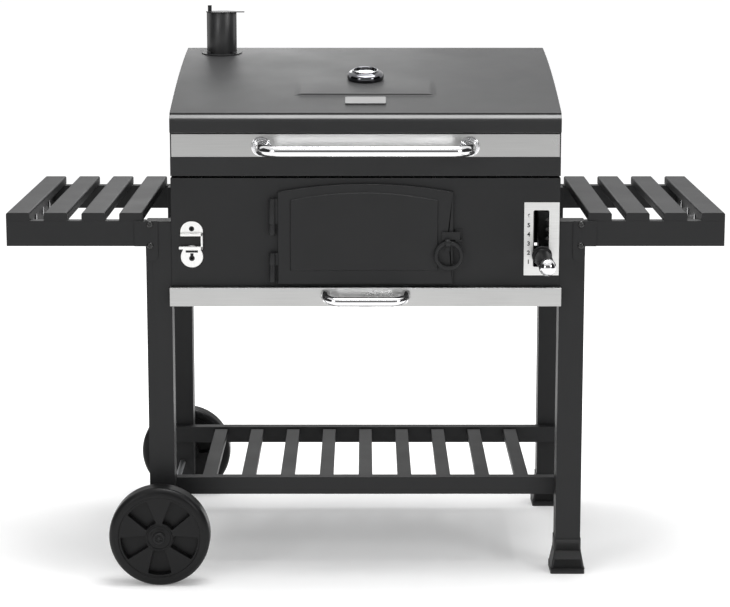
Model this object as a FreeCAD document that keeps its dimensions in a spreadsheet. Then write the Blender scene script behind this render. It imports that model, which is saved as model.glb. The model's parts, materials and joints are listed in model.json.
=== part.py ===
"""Charcoal grill and smoker cart: lid, firebox, lifting charcoal pan, ash drawer, side shelves and wheels.

Frame: +X to the right as seen from the front, +Y to the back, +Z up, millimetres.
The origin is on the floor, in the middle of the whole cart. Every piece is first laid out with y
measured from the front faces of the front legs, and place() then adds MIDDLE to reach the origin.
"""
import FreeCAD, Part
import math
import os
import re
import Sketcher
from FreeCAD import Rotation, Vector

SIZES = {
    # legs, feet and wheels
    "leg_inside": 381.5, "leg_size": 50, "leg_wall": 2, "leg_top": 712,
    "frame_deep": 565, "left_leg_base": 70, "cap_thick": 3, "plug_deep": 15, "stub_deep": 10,
    "plug_slack": 0.3,
    "boot_tall": 70, "boot_wall": 1.2, "boot_flare": 8, "boot_flare_tall": 32, "boot_sole": 8,
    "wheel_radius": 99.5, "wheel_thick": 52, "wheel_gap": 42, "wheel_round": 6, "axle_radius": 6,
    "hub_radius": 26, "pocket_inner": 30, "pocket_outer": 79, "pocket_half": 18, "pocket_deep": 18,
    "axle_cap_radius": 12, "axle_cap_tall": 7, "shaft_slack": 0.05, "gap": 0.3,
    # side shelves
    "slat_wide": 46, "slat_pitch": 74, "slat_thick": 16, "slat_clear": 5.5, "slat_extra": 10,
    "slat_round": 3.5, "slat_wall": 1.5, "rail_deep": 25, "rail_tall": 50, "rail_rise": 4, "rail_wall": 1.5,
    "bracket_wide": 24, "bracket_thick": 2.5, "bracket_lobe": 30, "bracket_reach": 22,
    "bolt_radius": 7, "bolt_head": 4, "bolt_shank": 3.5, "bolt_high": 3, "bolt_low": 45, "bolt_inset": 8.5,
    "hook_wire": 2, "hook_drop": 22, "hook_pitch": 100, "hook_reach": 16,
    # bottom shelf
    "low_rail_base": 150, "low_rail_tall": 35, "low_rail_deep": 25, "low_slat_wide": 28,
    "low_slat_pitch": 79.5, "low_slat_thick": 14, "low_slat_top": 181,
    # firebox
    "box_base": 587, "box_top": 801, "box_wall": 2, "box_inset": 9, "ledge": 14, "ledge_drop": 22,
    "mouth_half": 158, "mouth_base": 604, "mouth_side": 752, "mouth_rise": 15,
    # ash drawer
    "drawer_base": 549, "drawer_gap": 1, "drawer_lap": 3, "drawer_front_deep": 18, "sheet": 1.5,
    "runner_thick": 2, "runner_shelf": 22, "pan_top": 583, "pan_inset": 25, "pan_wall": 1.5,
    "pull_half": 79.5, "pull_radius": 9, "pull_reach": 42, "pull_bend": 30, "pull_high": 573.5,
    "pull_droop": 11.4,
    # lid
    "lid_rise": 4, "lid_wall": 2, "band_low": 41, "band_high": 86, "band_inset": 2.5,
    "band_thick": 1.3, "band_back": 0.8, "front_proud": 2, "lip_reach": 9, "lip_low": 91, "lip_high": 117,
    "lip_round": 14, "roof_rise": 128, "lip_back": 4, "roof_radius": 3100, "roof_crest": 804,
    "corner_round": 55, "handle_half": 203.5, "handle_radius": 11, "handle_reach": 67, "handle_rise": 61.5,
    "handle_droop": 1.7, "rosette_radius": 20, "rosette_thick": 5,
    "plate_half": 40, "plate_deep": 40, "plate_centre": 65, "plate_thick": 1.5,
    "gauge_centre": 210, "gauge_base": 37.5, "gauge_top": 30, "gauge_tall": 19.5, "dial_radius": 27,
    "dial_depth": 8, "dial_thick": 1, "lens_thick": 1.5, "lens_inset": 1, "stem_radius": 4, "stem_long": 55,
    "needle_long": 22, "needle_wide": 2.4, "needle_thick": 0.8, "needle_pin": 1, "needle_rest": 130,
    "leaf_wide": 70, "leaf_thick": 2, "leaf_tall": 42, "knuckle_radius": 6, "hinge_pin": 3,
    "hinge_apart": 280,
    # chimney
    "flue_x": 305, "flue_y": 445, "flue_radius": 31.5, "flue_wall": 2, "flue_rise": 297, "flange_radius": 43,
    "flange_thick": 1.6, "flange_bolt": 37, "flange_head": 4, "flange_head_tall": 4,
    "cap_plate": 1.6, "cap_radius": 33,
    "cap_tab": 48, "cap_tab_wide": 20, "cap_pivot": 25, "cap_pin": 2.5, "cap_lug": 5, "wing_wide": 8,
    "wing_tall": 13,
    # front door, latch and bottle opener
    "door_half": 172, "door_base": 592, "door_side": 774, "door_rise": 16, "door_deep": 8, "door_wall": 1.5,
    "door_gap": 0.5, "raise_left": 147, "raise_right": 141.5, "raise_base": 620, "raise_side": 758,
    "raise_rise": 15, "raise_thick": 3, "door_axis": 183, "door_axis_out": 9, "barrel_radius": 6.5,
    "barrel_pin": 4, "upper_barrel": 712, "upper_top": 761, "lower_barrel": 630, "lower_top": 654,
    "barrel_seat": 22, "lower_seat": 33, "latch_x": 159, "latch_base": 681, "latch_tall": 15,
    "latch_left": 150, "latch_right": 185, "latch_thick": 4, "latch_pin": 4, "strap_wide": 9, "strap_x": 161,
    "strap_base": 658, "ring_x": 163, "ring_high": 650, "ring_radius": 25, "ring_wire": 4.25,
    "ring_slack": 1.9, "loop_wall": 2, "keeper_left": 175.5, "keeper_right": 190, "keeper_base": 664,
    "keeper_top": 701, "keeper_thick": 2, "opener_left": 363, "opener_right": 319, "opener_base": 624,
    "opener_top": 715.5, "opener_thick": 2, "window_half": 15, "window_base": 664, "window_top": 686,
    "opener_lip": 9,
    # lever and charcoal pan
    "scale_left": 311, "scale_right": 380, "scale_base": 608.5, "scale_top": 753.3, "scale_thick": 1.5,
    "slot_left": 331, "slot_right": 360, "slot_base": 625.5, "slot_top": 737.7, "tooth_reach": 12,
    "tooth_root": 7.5, "tooth_tilt": 25, "tooth_pitch": 18.6, "tooth_tall": 6.5, "tooth_first": 642.5,
    "lever_x": 345.5, "lever_high": 650,
    "lever_radius": 5, "guard_radius": 20, "guard_out": 18, "guard_thick": 6, "grip_radius": 17,
    "grip_out": 30, "grip_long": 112, "ball_radius": 16.5, "lever_reach": 176, "strip": 5,
    "strip_wide": 20, "coal_half": 318, "coal_base": 612, "coal_tall": 43, "coal_front": 38,
    "coal_inset": 45, "coal_wall": 2, "guide_wide": 40, "guide_deep": 20, "guide_slot": 19,
    "guide_base": 592, "guide_top": 768, "guide_y": 262, "post_x": 345.5,
    # cooking grates and warming rack
    "grate_wire": 3, "grate_pitch": 20, "grate_half": 356, "rack_half": 330, "rack_front": 372,
    "rack_inset": 37, "rack_rise": 67, "rack_wire": 2.5, "rack_pitch": 22,
}

REAR_FACE = "(frame_deep - box_inset)"
COAL_BACK = "(frame_deep - coal_inset)"
MIDDLE = "(lever_reach - frame_deep - wheel_gap - wheel_thick - axle_cap_tall) / 2"
LEG_OUTSIDE = "leg_inside + leg_size"
SIDE_MIDDLE = "leg_inside + leg_size / 2"

doc = FreeCAD.newDocument("grill_cart")
sheet = doc.addObject("Spreadsheet::Sheet", "dims")
pieces = []


def fill_sheet():
    """Write each size as a plain number with its name beside it and as the cell's alias."""
    for row, (name, value) in enumerate(SIZES.items(), start=1):
        sheet.set(f"A{row}", name)
        sheet.set(f"B{row}", str(value))
        sheet.setAlias(f"B{row}", name)
    doc.recompute()


def formula(text):
    """Point each size name in a formula at its cell in the sheet."""
    return re.sub(r"[a-z_]+", lambda m: "dims." + m.group() if m.group() in SIZES else m.group(), str(text))


def value(text):
    """The number that a formula gives."""
    return float(sheet.evalExpression(formula(text)))


def bind(thing, field, text):
    """Tie one field of an object to the sheet."""
    thing.setExpression(field, formula(text))


def place(thing, x=0, y=0, z=0, turn=None):
    """Put an object at x, y, z; turn is an axis and the formula of its angle in degrees."""
    if turn:
        thing.Placement.Rotation = Rotation(turn[0], 1)
        bind(thing, "Placement.Rotation.Angle", turn[1])
    bind(thing, "Placement.Base.x", x)
    bind(thing, "Placement.Base.y", f"({y}) + {MIDDLE}")
    bind(thing, "Placement.Base.z", z)
    return thing


def span(start, end):
    """The distance between two formulas."""
    return f"({end}) - ({start})"


def box(x, y, z):
    """A block between two formulas along each axis."""
    block = doc.addObject("Part::Box", "block")
    for field, ends in (("Length", x), ("Width", y), ("Height", z)):
        bind(block, field, span(*ends))
    return place(block, x[0], y[0], z[0])


TURNS = {"x": (Vector(0, 1, 0), "90"), "y": (Vector(1, 0, 0), "-90"), "z": None}


def rod(radius, length, x, y, z, along="z"):
    """A round bar that starts at x, y, z and runs the positive way along one axis."""
    bar = doc.addObject("Part::Cylinder", "rod")
    bind(bar, "Radius", radius)
    bind(bar, "Height", length)
    return place(bar, x, y, z, TURNS[along])


def ball(radius, x, y, z):
    """A sphere about x, y, z."""
    sphere = doc.addObject("Part::Sphere", "ball")
    bind(sphere, "Radius", radius)
    return place(sphere, x, y, z)


def fuse(*shapes):
    """One solid from shapes that meet or overlap."""
    joined = doc.addObject("Part::MultiFuse", "joined")
    joined.Shapes = list(shapes)
    return joined


def cut(base, *tools):
    """A base shape with each tool taken out of it."""
    taken = doc.addObject("Part::Cut", "taken")
    taken.Base = base
    taken.Tool = tools[0] if len(tools) == 1 else fuse(*tools)
    return taken


def group(*shapes):
    """Separate identical solids that share a node."""
    several = doc.addObject("Part::Compound", "several")
    several.Links = list(shapes)
    return several


def piece(label, thing):
    """Name an object as one of the cart's pieces."""
    thing.Label = label
    pieces.append(thing)
    return thing


def tilted(thing, x, y, z, angle):
    """A shape laid out about the origin, tipped about X and then put at x, y, z."""
    return place(thing, x, y, z, (Vector(1, 0, 0), angle))


def corner(sketch, line, side, along, point):
    """Tie the end of one edge of a sketch to a pair of formulas."""
    for kind, text, number in zip(("DistanceX", "DistanceY"), along, point):
        index = sketch.addConstraint(Sketcher.Constraint(kind, -1, 1, line, side, number))
        bind(sketch, f"Constraints[{index}]", text)


def outline(body, plane, corners):
    """A closed sketch through corners, counter-clockwise; a third entry bows the edge that follows."""
    sketch = body.newObject("Sketcher::SketchObject", "outline")
    sketch.AttachmentSupport = [(next(o for o in body.Origin.OriginFeatures if o.Role == plane), "")]
    sketch.MapMode = "FlatFace"
    points = [(value(c[0]), value(c[1])) for c in corners]
    for index, here in enumerate(corners):
        start, end = points[index], points[(index + 1) % len(points)]
        if len(here) == 2:
            sketch.addGeometry(Part.LineSegment(Vector(*start, 0), Vector(*end, 0)), False)
            continue
        radius = value(here[2])
        chord = Vector(end[0] - start[0], end[1] - start[1], 0)
        inward = Vector(-chord.y, chord.x, 0).normalize()
        middle = Vector(*start, 0) + chord / 2 + inward * math.sqrt(radius ** 2 - chord.Length ** 2 / 4)
        angles = [math.atan2(p[1] - middle.y, p[0] - middle.x) for p in (start, end)]
        sketch.addGeometry(Part.ArcOfCircle(Part.Circle(middle, Vector(0, 0, 1), radius), *angles), False)
    for index, here in enumerate(corners):
        following = (index + 1) % len(corners)
        sketch.addConstraint(Sketcher.Constraint("Coincident", index, 2, following, 1))
        corner(sketch, index, 1, here[:2], points[index])
        if len(here) == 3:
            number = sketch.addConstraint(Sketcher.Constraint("Radius", index, value(here[2])))
            bind(sketch, f"Constraints[{number}]", here[2])
    return sketch


def body():
    """An empty PartDesign body."""
    return doc.addObject("PartDesign::Body", "body")


def pad(owner, sketch, length, midplane=False, backwards=False):
    """Thicken a sketch."""
    feature = owner.newObject("PartDesign::Pad", "pad")
    feature.Profile = sketch
    feature.Midplane = midplane
    feature.Reversed = backwards
    bind(feature, "Length", length)
    return feature


def pocket(owner, sketch, length, midplane=False, backwards=False):
    """Cut a sketch into the body."""
    feature = owner.newObject("PartDesign::Pocket", "pocket")
    feature.Profile = sketch
    feature.Midplane = midplane
    feature.Reversed = backwards
    bind(feature, "Length", length)
    return feature


def bow(half, rise):
    """The radius of an arch of this rise over a span of twice half."""
    return f"(({half})^2 + ({rise})^2) / (2 * ({rise}))"


def arch(left, right, base, side, rise):
    """A door-shaped outline: straight foot and sides under a shallow arch."""
    half = f"(({right}) - ({left})) / 2"
    return [(left, base), (right, base), (right, side, bow(half, rise)), (left, side)]


# ---------------------------------------------------------------- legs, feet and wheels
def tube(x, y, z, wall, hollow):
    """A square or flat tube, open at both ends along the hollow axis."""
    inner = []
    for axis, ends in zip("xyz", (x, y, z)):
        inner.append(ends if axis == hollow else (f"{ends[0]} + {wall}", f"{ends[1]} - {wall}"))
    return cut(box(x, y, z), box(*inner))


def leg_side(side):
    """The two x ends of the legs on one side."""
    ends = (f"-({LEG_OUTSIDE})", "-leg_inside") if side == "left" else ("leg_inside", LEG_OUTSIDE)
    return ends


def leg_rows():
    """The y ends of the front and rear legs."""
    return {"front": ("0", "leg_size"), "rear": ("frame_deep - leg_size", "frame_deep")}


def bolt_places():
    """x and z of each shelf bolt, on both sides."""
    across = f"{LEG_OUTSIDE} - bolt_inset"
    heights = ("(leg_top - bolt_high)", "(leg_top - bolt_low)")
    return [(f"{sign}({across})", high) for sign in ("-", "") for high in heights]


def bolt_holes(side):
    """Rods through the whole depth of the cart where the shelf bolts go on one side."""
    places = [p for p in bolt_places() if p[0].startswith("-") == (side == "left")]
    return [rod("bolt_shank", "frame_deep + 40", x, "-20", z, "y") for x, z in places]


def legs():
    """Four square tubes; the left pair is shorter and carries the axle."""
    for side in ("left", "right"):
        for row, y in leg_rows().items():
            base = "left_leg_base" if side == "left" else "boot_sole"
            holes = bolt_holes(side)
            if side == "left":
                holes.append(rod("axle_radius", "frame_deep", f"-({SIDE_MIDDLE})", "0", "wheel_radius", "y"))
            leg = tube(leg_side(side), y, (base, "leg_top"), "leg_wall", "z")
            piece(f"leg_{row}_{side}", cut(leg, *holes))


def leg_caps():
    """Flat plugs that close the tops of the legs and the open ends of the left pair."""
    caps = []
    inset = "leg_wall + plug_slack"
    for side in ("left", "right"):
        x = leg_side(side)
        for y in leg_rows().values():
            lid = box(x, y, ("leg_top", "leg_top + cap_thick"))
            plug = box((f"{x[0]} + {inset}", f"{x[1]} - ({inset})"),
                       (f"{y[0]} + {inset}", f"{y[1]} - ({inset})"),
                       ("leg_top - plug_deep", "leg_top"))
            plug_holes = [rod("bolt_shank + 1", "frame_deep", across, "0", high, "y")
                          for across, high in bolt_places()[::2]]
            caps.append(cut(fuse(lid, plug), *plug_holes))
            if side == "left":
                sole = box(x, y, ("left_leg_base - cap_thick", "left_leg_base"))
                stub = box((f"{x[0]} + {inset}", f"{x[1]} - ({inset})"),
                           (f"{y[0]} + {inset}", f"{y[1]} - ({inset})"),
                           ("left_leg_base", "left_leg_base + stub_deep"))
                caps.append(fuse(sole, stub))
    piece("leg_caps", group(*caps))


def foot_boots():
    """Sleeves on the right-hand legs that flare to a wide base."""
    boots = []
    for y in leg_rows().values():
        middle_y = f"({y[0]} + {y[1]}) / 2"
        half = "leg_size / 2 + boot_wall"
        sleeve = box((f"{SIDE_MIDDLE} - ({half})", f"{SIDE_MIDDLE} + {half}"),
                     (f"{middle_y} - ({half})", f"{middle_y} + {half}"), ("0", "boot_tall"))
        base = flared_base(middle_y, half)
        room = box(("leg_inside", LEG_OUTSIDE), y, ("boot_sole", "boot_tall"))
        boots.append(cut(fuse(sleeve, base), room))
    piece("foot_boots", group(*boots))


def flared_base(middle_y, half):
    """The spreading lower part of a boot."""
    wedge = doc.addObject("Part::Wedge", "wedge")
    wide = f"{half} + boot_flare"
    for field in ("Xmin", "Zmin"):
        bind(wedge, field, f"-({wide})")
        bind(wedge, field.replace("min", "max"), wide)
    for field in ("X2min", "Z2min"):
        bind(wedge, field, f"-({half})")
        bind(wedge, field.replace("min", "max"), half)
    bind(wedge, "Ymin", "0")
    bind(wedge, "Ymax", "boot_flare_tall")
    return place(wedge, SIDE_MIDDLE, middle_y, "boot_sole", (Vector(1, 0, 0), "90"))


def wheel(label, y, turn):
    """A moulded wheel about Y: its outer face has five pockets between wide spokes round a raised hub."""
    owner = body()
    tyre = owner.newObject("Sketcher::SketchObject", "outline")
    tyre.AttachmentSupport = [(next(o for o in owner.Origin.OriginFeatures if o.Role == "XZ_Plane"), "")]
    tyre.MapMode = "FlatFace"
    tyre.addGeometry(Part.Circle(Vector(0, 0, 0), Vector(0, 0, 1), value("wheel_radius")), False)
    tyre.addConstraint(Sketcher.Constraint("Coincident", 0, 3, -1, 1))
    size = tyre.addConstraint(Sketcher.Constraint("Radius", 0, value("wheel_radius")))
    bind(tyre, f"Constraints[{size}]", "wheel_radius")
    disc = pad(owner, tyre, "wheel_thick")
    doc.recompute()
    rounded = owner.newObject("PartDesign::Fillet", "tread")
    rims = [f"Edge{i + 1}" for i, e in enumerate(disc.Shape.Edges) if isinstance(e.Curve, Part.Circle)]
    rounded.Base = (disc, rims)
    bind(rounded, "Radius", "wheel_round")
    place(owner, f"-({SIDE_MIDDLE})", y, "wheel_radius", (Vector(0, 0, 1), turn))
    facing = "" if turn == "0" else "-"
    pockets = [wheel_pocket(y, facing, 90 + 72 * index) for index in range(5)]
    bore = rod("axle_radius + shaft_slack", "frame_deep * 2", f"-({SIDE_MIDDLE})", "-frame_deep / 2",
               "wheel_radius", "y")
    sleeve_start = f"{y} {'+' if turn == '0' else '-'} 0"
    hub_long = "wheel_gap - gap"
    hub_start = sleeve_start if turn == "0" else f"{y} - ({hub_long})"
    hub = rod("hub_radius / 2", hub_long, f"-({SIDE_MIDDLE})", hub_start, "wheel_radius", "y")
    piece(label, cut(fuse(cut(owner, *pockets), hub), bore))


def wheel_pocket(y, facing, angle):
    """A recess of a quarter-like sector shape in a wheel's outer face."""
    outer = f"{y} {'-' if facing == '' else '+'} wheel_thick"
    start = f"{outer} - 1" if facing == "" else f"{outer} - pocket_deep"
    sector = doc.addObject("Part::Cylinder", "sector")
    bind(sector, "Radius", "pocket_outer")
    bind(sector, "Height", "pocket_deep + 1")
    bind(sector, "Angle", "2 * pocket_half")
    place(sector, f"-({SIDE_MIDDLE})", start, "wheel_radius")
    sector.Placement.Rotation = Rotation(Vector(0, 1, 0), -angle).multiply(Rotation(Vector(1, 0, 0), -90))
    centre = rod("pocket_inner", "pocket_deep * 3", f"-({SIDE_MIDDLE})", f"{start} - pocket_deep",
                 "wheel_radius", "y")
    return cut(sector, centre)


def wheels():
    """Two wheels on one axle through the left legs, held by caps on its ends."""
    wheel("wheel_front", "-wheel_gap", "0")
    wheel("wheel_rear", "frame_deep + wheel_gap", "180")
    reach = "wheel_gap + wheel_thick"
    across = f"-({SIDE_MIDDLE})"
    length = f"frame_deep + 2 * ({reach})"
    piece("axle", rod("axle_radius", length, across, f"-({reach})", "wheel_radius", "y"))
    front = rod("axle_cap_radius", "axle_cap_tall - gap", across, f"-({reach}) - axle_cap_tall",
                "wheel_radius", "y")
    back = rod("axle_cap_radius", "axle_cap_tall - gap", across, f"frame_deep + {reach} + gap",
               "wheel_radius", "y")
    inner = rod("axle_radius", "gap", across, f"-({reach}) - gap", "wheel_radius", "y")
    outer = rod("axle_radius", "gap", across, f"frame_deep + {reach}", "wheel_radius", "y")
    piece("axle_caps", group(fuse(front, inner), fuse(back, outer)))


# ---------------------------------------------------------------- shelves
def channel(solid, x, y, z, wall):
    """A folded sheet piece: the solid hollowed from below to an even wall."""
    room = [(f"{ends[0]} + {wall}", f"{ends[1]} - {wall}") for ends in (x, y)]
    return cut(solid, box(*room, (f"{z[0]} - 1", f"{z[1]} - {wall}")))


def rounded_slat(x, y, z):
    """A folded slat with softened long edges."""
    slat = box(x, y, z)
    doc.recompute()
    soft = doc.addObject("Part::Fillet", "soft")
    soft.Base = slat
    radius = value("slat_round")
    longest = value(span(*y))
    soft.Edges = [(i + 1, radius, radius) for i, e in enumerate(slat.Shape.Edges)
                  if abs(e.Length - longest) < 0.01 and abs(e.tangentAt(0).y) > 0.99
                  and e.CenterOfMass.z > slat.Shape.CenterOfMass.z]
    return channel(soft, x, y, z, "slat_wall")


SLAT_START = "(leg_inside + leg_size + slat_clear)"
SHELF_END = f"({SLAT_START} + 3 * slat_pitch + slat_wide)"


def side_shelves():
    """Four slats a side on two rails bolted to the legs, with a rail across the outer end."""
    high = ("(leg_top + rail_rise) - rail_tall", "(leg_top + rail_rise)")
    for side in ("left", "right"):
        ends = ordered(side, LEG_OUTSIDE, SHELF_END)
        for row, y in (("front", ("0", "rail_deep")), ("rear", ("frame_deep - rail_deep", "frame_deep"))):
            piece(f"{side}_shelf_{row}_rail", tube(ends, y, high, "rail_wall", "x"))
        outer = ordered(side, f"{SHELF_END} - rail_deep", SHELF_END)
        piece(f"{side}_shelf_end_rail",
              tube(outer, ("rail_deep", "frame_deep - rail_deep"), high, "rail_wall", "y"))
        slats = []
        for index in range(4):
            start = f"{SLAT_START} + {index} * slat_pitch"
            wide = ordered(side, start, f"{start} + slat_wide")
            slats.append(rounded_slat(wide, ("0", "(frame_deep + slat_extra)"),
                                      ("(leg_top + rail_rise)", "(leg_top + rail_rise) + slat_thick")))
        piece(f"{side}_shelf_slats", group(*slats))


def ordered(side, near, far):
    """Two distances from the middle as x ends on one side, lower first."""
    return (f"-({far})", f"-({near})") if side == "left" else (near, far)


def shelf_brackets():
    """Plates that lap each rail end over the leg, with a rounded lobe below and two bolts."""
    plates = []
    for side in ("left", "right"):
        for y in (("-bracket_thick", "0"), ("frame_deep", "frame_deep + bracket_thick")):
            wide = ordered(side, f"{LEG_OUTSIDE} - bracket_wide", f"{LEG_OUTSIDE} + bracket_reach")
            plate = box(wide, y, ("(leg_top + rail_rise) - rail_tall", "(leg_top + rail_rise)"))
            lobe_x = f"{LEG_OUTSIDE} - bracket_wide / 2"
            lobe_x = lobe_x if side == "right" else f"-({lobe_x})"
            lobe = rod("bracket_wide / 2", "bracket_thick", lobe_x, y[0],
                       "(leg_top + rail_rise) - rail_tall - bracket_lobe + bracket_wide / 2", "y")
            neck = box(ordered(side, f"{LEG_OUTSIDE} - bracket_wide", LEG_OUTSIDE), y,
                       ("leg_top + rail_rise - rail_tall - bracket_lobe + bracket_wide / 2",
                        "leg_top + rail_rise - rail_tall"))
            plates.append(cut(fuse(plate, neck, lobe), *bolt_holes(side)))
    piece("shelf_brackets", group(*plates))


def shelf_bolts():
    """Domed bolts through brackets and legs."""
    bolts = []
    for x, z in bolt_places():
        shank = "bracket_thick + leg_wall"
        front = rod("bolt_shank", shank, x, "-bracket_thick", z, "y")
        head = rod("bolt_radius", "bolt_head", x, "-bracket_thick - bolt_head", z, "y")
        bolts.append(fuse(front, head))
        back = rod("bolt_shank", shank, x, "frame_deep - leg_wall", z, "y")
        head = rod("bolt_radius", "bolt_head", x, "frame_deep + bracket_thick", z, "y")
        bolts.append(fuse(back, head))
    piece("shelf_bolts", group(*bolts))


def utensil_hooks():
    """Bent wires hung from the inner faces of the end rails."""
    hooks = []
    for side in ("left", "right"):
        sign = "-" if side == "left" else ""
        face = f"{SHELF_END} - rail_deep"
        for index in range(4):
            y = f"frame_deep / 2 + ({index} - 1.5) * hook_pitch"
            top = "(leg_top + rail_rise) - 12"
            stem_x = f"{sign}({face} - hook_wire)"
            stem = rod("hook_wire", "hook_drop", stem_x, y, f"{top} - hook_drop", "z")
            lower = ordered(side, f"{face} - hook_wire - hook_reach", f"{face} - hook_wire")
            foot = rod("hook_wire", "hook_reach", lower[0], y, f"{top} - hook_drop", "x")
            tip_x = f"{sign}({face} - hook_wire - hook_reach)"
            tip = rod("hook_wire", "hook_drop / 2", tip_x, y, f"{top} - hook_drop", "z")
            ends = [ball("hook_wire", x, y, f"{top} - hook_drop") for x in (stem_x, tip_x)]
            hooks.append(fuse(stem, foot, tip, *ends))
    piece("utensil_hooks", group(*hooks))


def bottom_shelf():
    """Nine slats between two rails behind the legs' inner faces."""
    high = ("low_rail_base", "low_rail_base + low_rail_tall")
    wide = (f"-({LEG_OUTSIDE})", LEG_OUTSIDE)
    front = ("leg_size", "leg_size + low_rail_deep")
    back = ("frame_deep - leg_size - low_rail_deep", "frame_deep - leg_size")
    piece("bottom_front_rail", tube(wide, front, high, "rail_wall", "x"))
    piece("bottom_rear_rail", tube(wide, back, high, "rail_wall", "x"))
    slats = []
    for index in range(-4, 5):
        x = (f"{index} * low_slat_pitch - low_slat_wide / 2", f"{index} * low_slat_pitch + low_slat_wide / 2")
        y, z = (front[1], back[0]), ("low_slat_top - low_slat_thick", "low_slat_top")
        slats.append(channel(box(x, y, z), x, y, z, "slat_wall"))
    piece("bottom_shelf_slats", group(*slats))


# ---------------------------------------------------------------- firebox
FRONT = "-box_wall"


def firebox():
    """Four bolted walls with no floor; the front has the door mouth and the lever slot."""
    wide = ("-leg_inside + box_wall", "leg_inside - box_wall")
    high = ("box_base", "box_top")
    wall = box(("-leg_inside", "leg_inside"), (FRONT, "0"), high)
    ledge_high = ("box_top - ledge_drop - box_wall", "box_top - ledge_drop")
    ledge = box(wide, ("0", "ledge"), ledge_high)
    slot = box(("slot_left", "slot_right"), ("-20", "20"), ("slot_base", "slot_top"))
    piece("firebox_front", fuse(cut(fuse(wall, ledge), mouth(), slot), *lever_teeth()))
    back = box(("-leg_inside", "leg_inside"), (f"{REAR_FACE} - box_wall", REAR_FACE), high)
    back_ledge = box(wide, (f"{REAR_FACE} - box_wall - ledge", f"{REAR_FACE} - box_wall"), ledge_high)
    piece("firebox_back", fuse(back, back_ledge))
    left = box(("-leg_inside", "-leg_inside + box_wall"), ("0", "(frame_deep - box_inset) - box_wall"), high)
    right = box(("leg_inside - box_wall", "leg_inside"), ("0", "(frame_deep - box_inset) - box_wall"), high)
    piece("firebox_sides", group(left, right))


def lever_teeth():
    """Slanted teeth down the slot's right edge, one between each pair of lever heights."""
    teeth = []
    for index in range(5):
        tooth = doc.addObject("Part::Box", "tooth")
        for field, size in (("Length", "tooth_reach"), ("Width", "box_wall"), ("Height", "tooth_tall")):
            bind(tooth, field, size)
        teeth.append(place(tooth, "slot_right - tooth_root", FRONT, f"tooth_first + {index} * tooth_pitch",
                           (Vector(0, 1, 0), "tooth_tilt")))
    return teeth


def mouth():
    """The arched opening behind the front door, as a block to cut with."""
    owner = body()
    mouth = arch("-mouth_half", "mouth_half", "mouth_base", "mouth_side", "mouth_rise")
    sketch = outline(owner, "XZ_Plane", mouth)
    pad(owner, sketch, "12", midplane=True)
    return place(owner)


def wire_grid(x, y, high, wire, count, cross):
    """Round wires along Y between x ends, under a few wires across."""
    wires = []
    for index in range(count):
        across = f"{x[0]} + ({x[1]} - ({x[0]})) * {index} / {count - 1}"
        wires.append(rod(wire, span(*y), across, y[0], high, "y"))
    for share in cross:
        deep = f"{y[0]} + ({y[1]} - ({y[0]})) * {share}"
        wires.append(rod(wire, f"{span(*x)} + 2 * {wire}", f"{x[0]} - {wire}", deep, high, "x"))
    return wires


def grates():
    """Two cooking grates on the ledges, and a warming rack on legs at the back."""
    high = "box_top - ledge_drop + grate_wire + gap"
    deep = ("4", "(frame_deep - box_inset) - box_wall - 4")
    count = int(value("grate_half / grate_pitch"))
    both = []
    for x in (("-grate_half", "-8"), ("8", "grate_half")):
        both.append(fuse(*wire_grid(x, deep, high, "grate_wire", count, (0.01, 0.5, 0.99))))
    piece("cooking_grates", group(*both))
    rack_y = ("rack_front", "(frame_deep - rack_inset)")
    count = int(value("2 * rack_half / rack_pitch"))
    rack = wire_grid(("-rack_half", "rack_half"), rack_y, "(box_top + rack_rise)", "rack_wire", count,
                     (0.02, 0.98))
    seat = "box_top - ledge_drop + 2 * grate_wire + 2 * gap"
    for x in ("-rack_half", "rack_half"):
        for y in ("rack_front + 20", "(frame_deep - rack_inset) - 20"):
            rack.append(rod("rack_wire", f"(box_top + rack_rise) - ({seat})", x, y, seat))
    piece("warming_rack", fuse(*rack))


# ---------------------------------------------------------------- ash drawer
DRAWER_FACE = "-gap - drawer_front_deep"


def ash_drawer():
    """A pan on two runners under the open firebox, with a folded steel front and a bow handle."""
    shelf_top = "drawer_base - gap"
    outer = "leg_inside - runner_thick - gap"
    for_runner = []
    for side in ("left", "right"):
        web = box(ordered(side, "leg_inside - runner_thick", "leg_inside"), ("2", "frame_deep - 5"),
                  (f"{shelf_top} - runner_thick", "box_base - 1"))
        shelf = box(ordered(side, "leg_inside - runner_shelf", "leg_inside"), ("2", "frame_deep - 5"),
                    (f"{shelf_top} - runner_thick", shelf_top))
        for_runner.append(fuse(web, shelf))
    piece("drawer_runners", group(*for_runner))
    pan = box((f"-({outer})", outer), ("-gap", "(frame_deep - pan_inset)"), ("drawer_base", "pan_top"))
    room = box((f"-({outer}) + pan_wall", f"{outer} - pan_wall"),
               ("-gap + pan_wall", "frame_deep - pan_inset - pan_wall"),
               ("drawer_base + pan_wall", "pan_top + 5"))
    piece("ash_drawer", cut(pan, room))
    end = "(leg_inside + drawer_lap)"
    front = box((f"-{end}", end), (DRAWER_FACE, "-gap"), ("drawer_base", "(box_base - drawer_gap)"))
    fold = box((f"-{end} + sheet", f"{end} - sheet"), (f"{DRAWER_FACE} + sheet", "10"),
               ("drawer_base + sheet", "(box_base - drawer_gap) - sheet"))
    back_plate = box((f"-({outer})", outer), ("-gap - sheet", "-gap"), ("drawer_base", "pan_top"))
    piece("drawer_front", fuse(cut(front, fold), back_plate))
    handle = tilted(bow_handle("pull_half", "pull_reach", "pull_radius", "pull_bend"), "0", DRAWER_FACE,
                    "pull_high", "pull_droop")
    behind = box(("-leg_inside", "leg_inside"), (DRAWER_FACE, "0"), ("drawer_base", "pull_high + pull_half"))
    piece("drawer_handle", cut(handle, behind))


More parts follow.
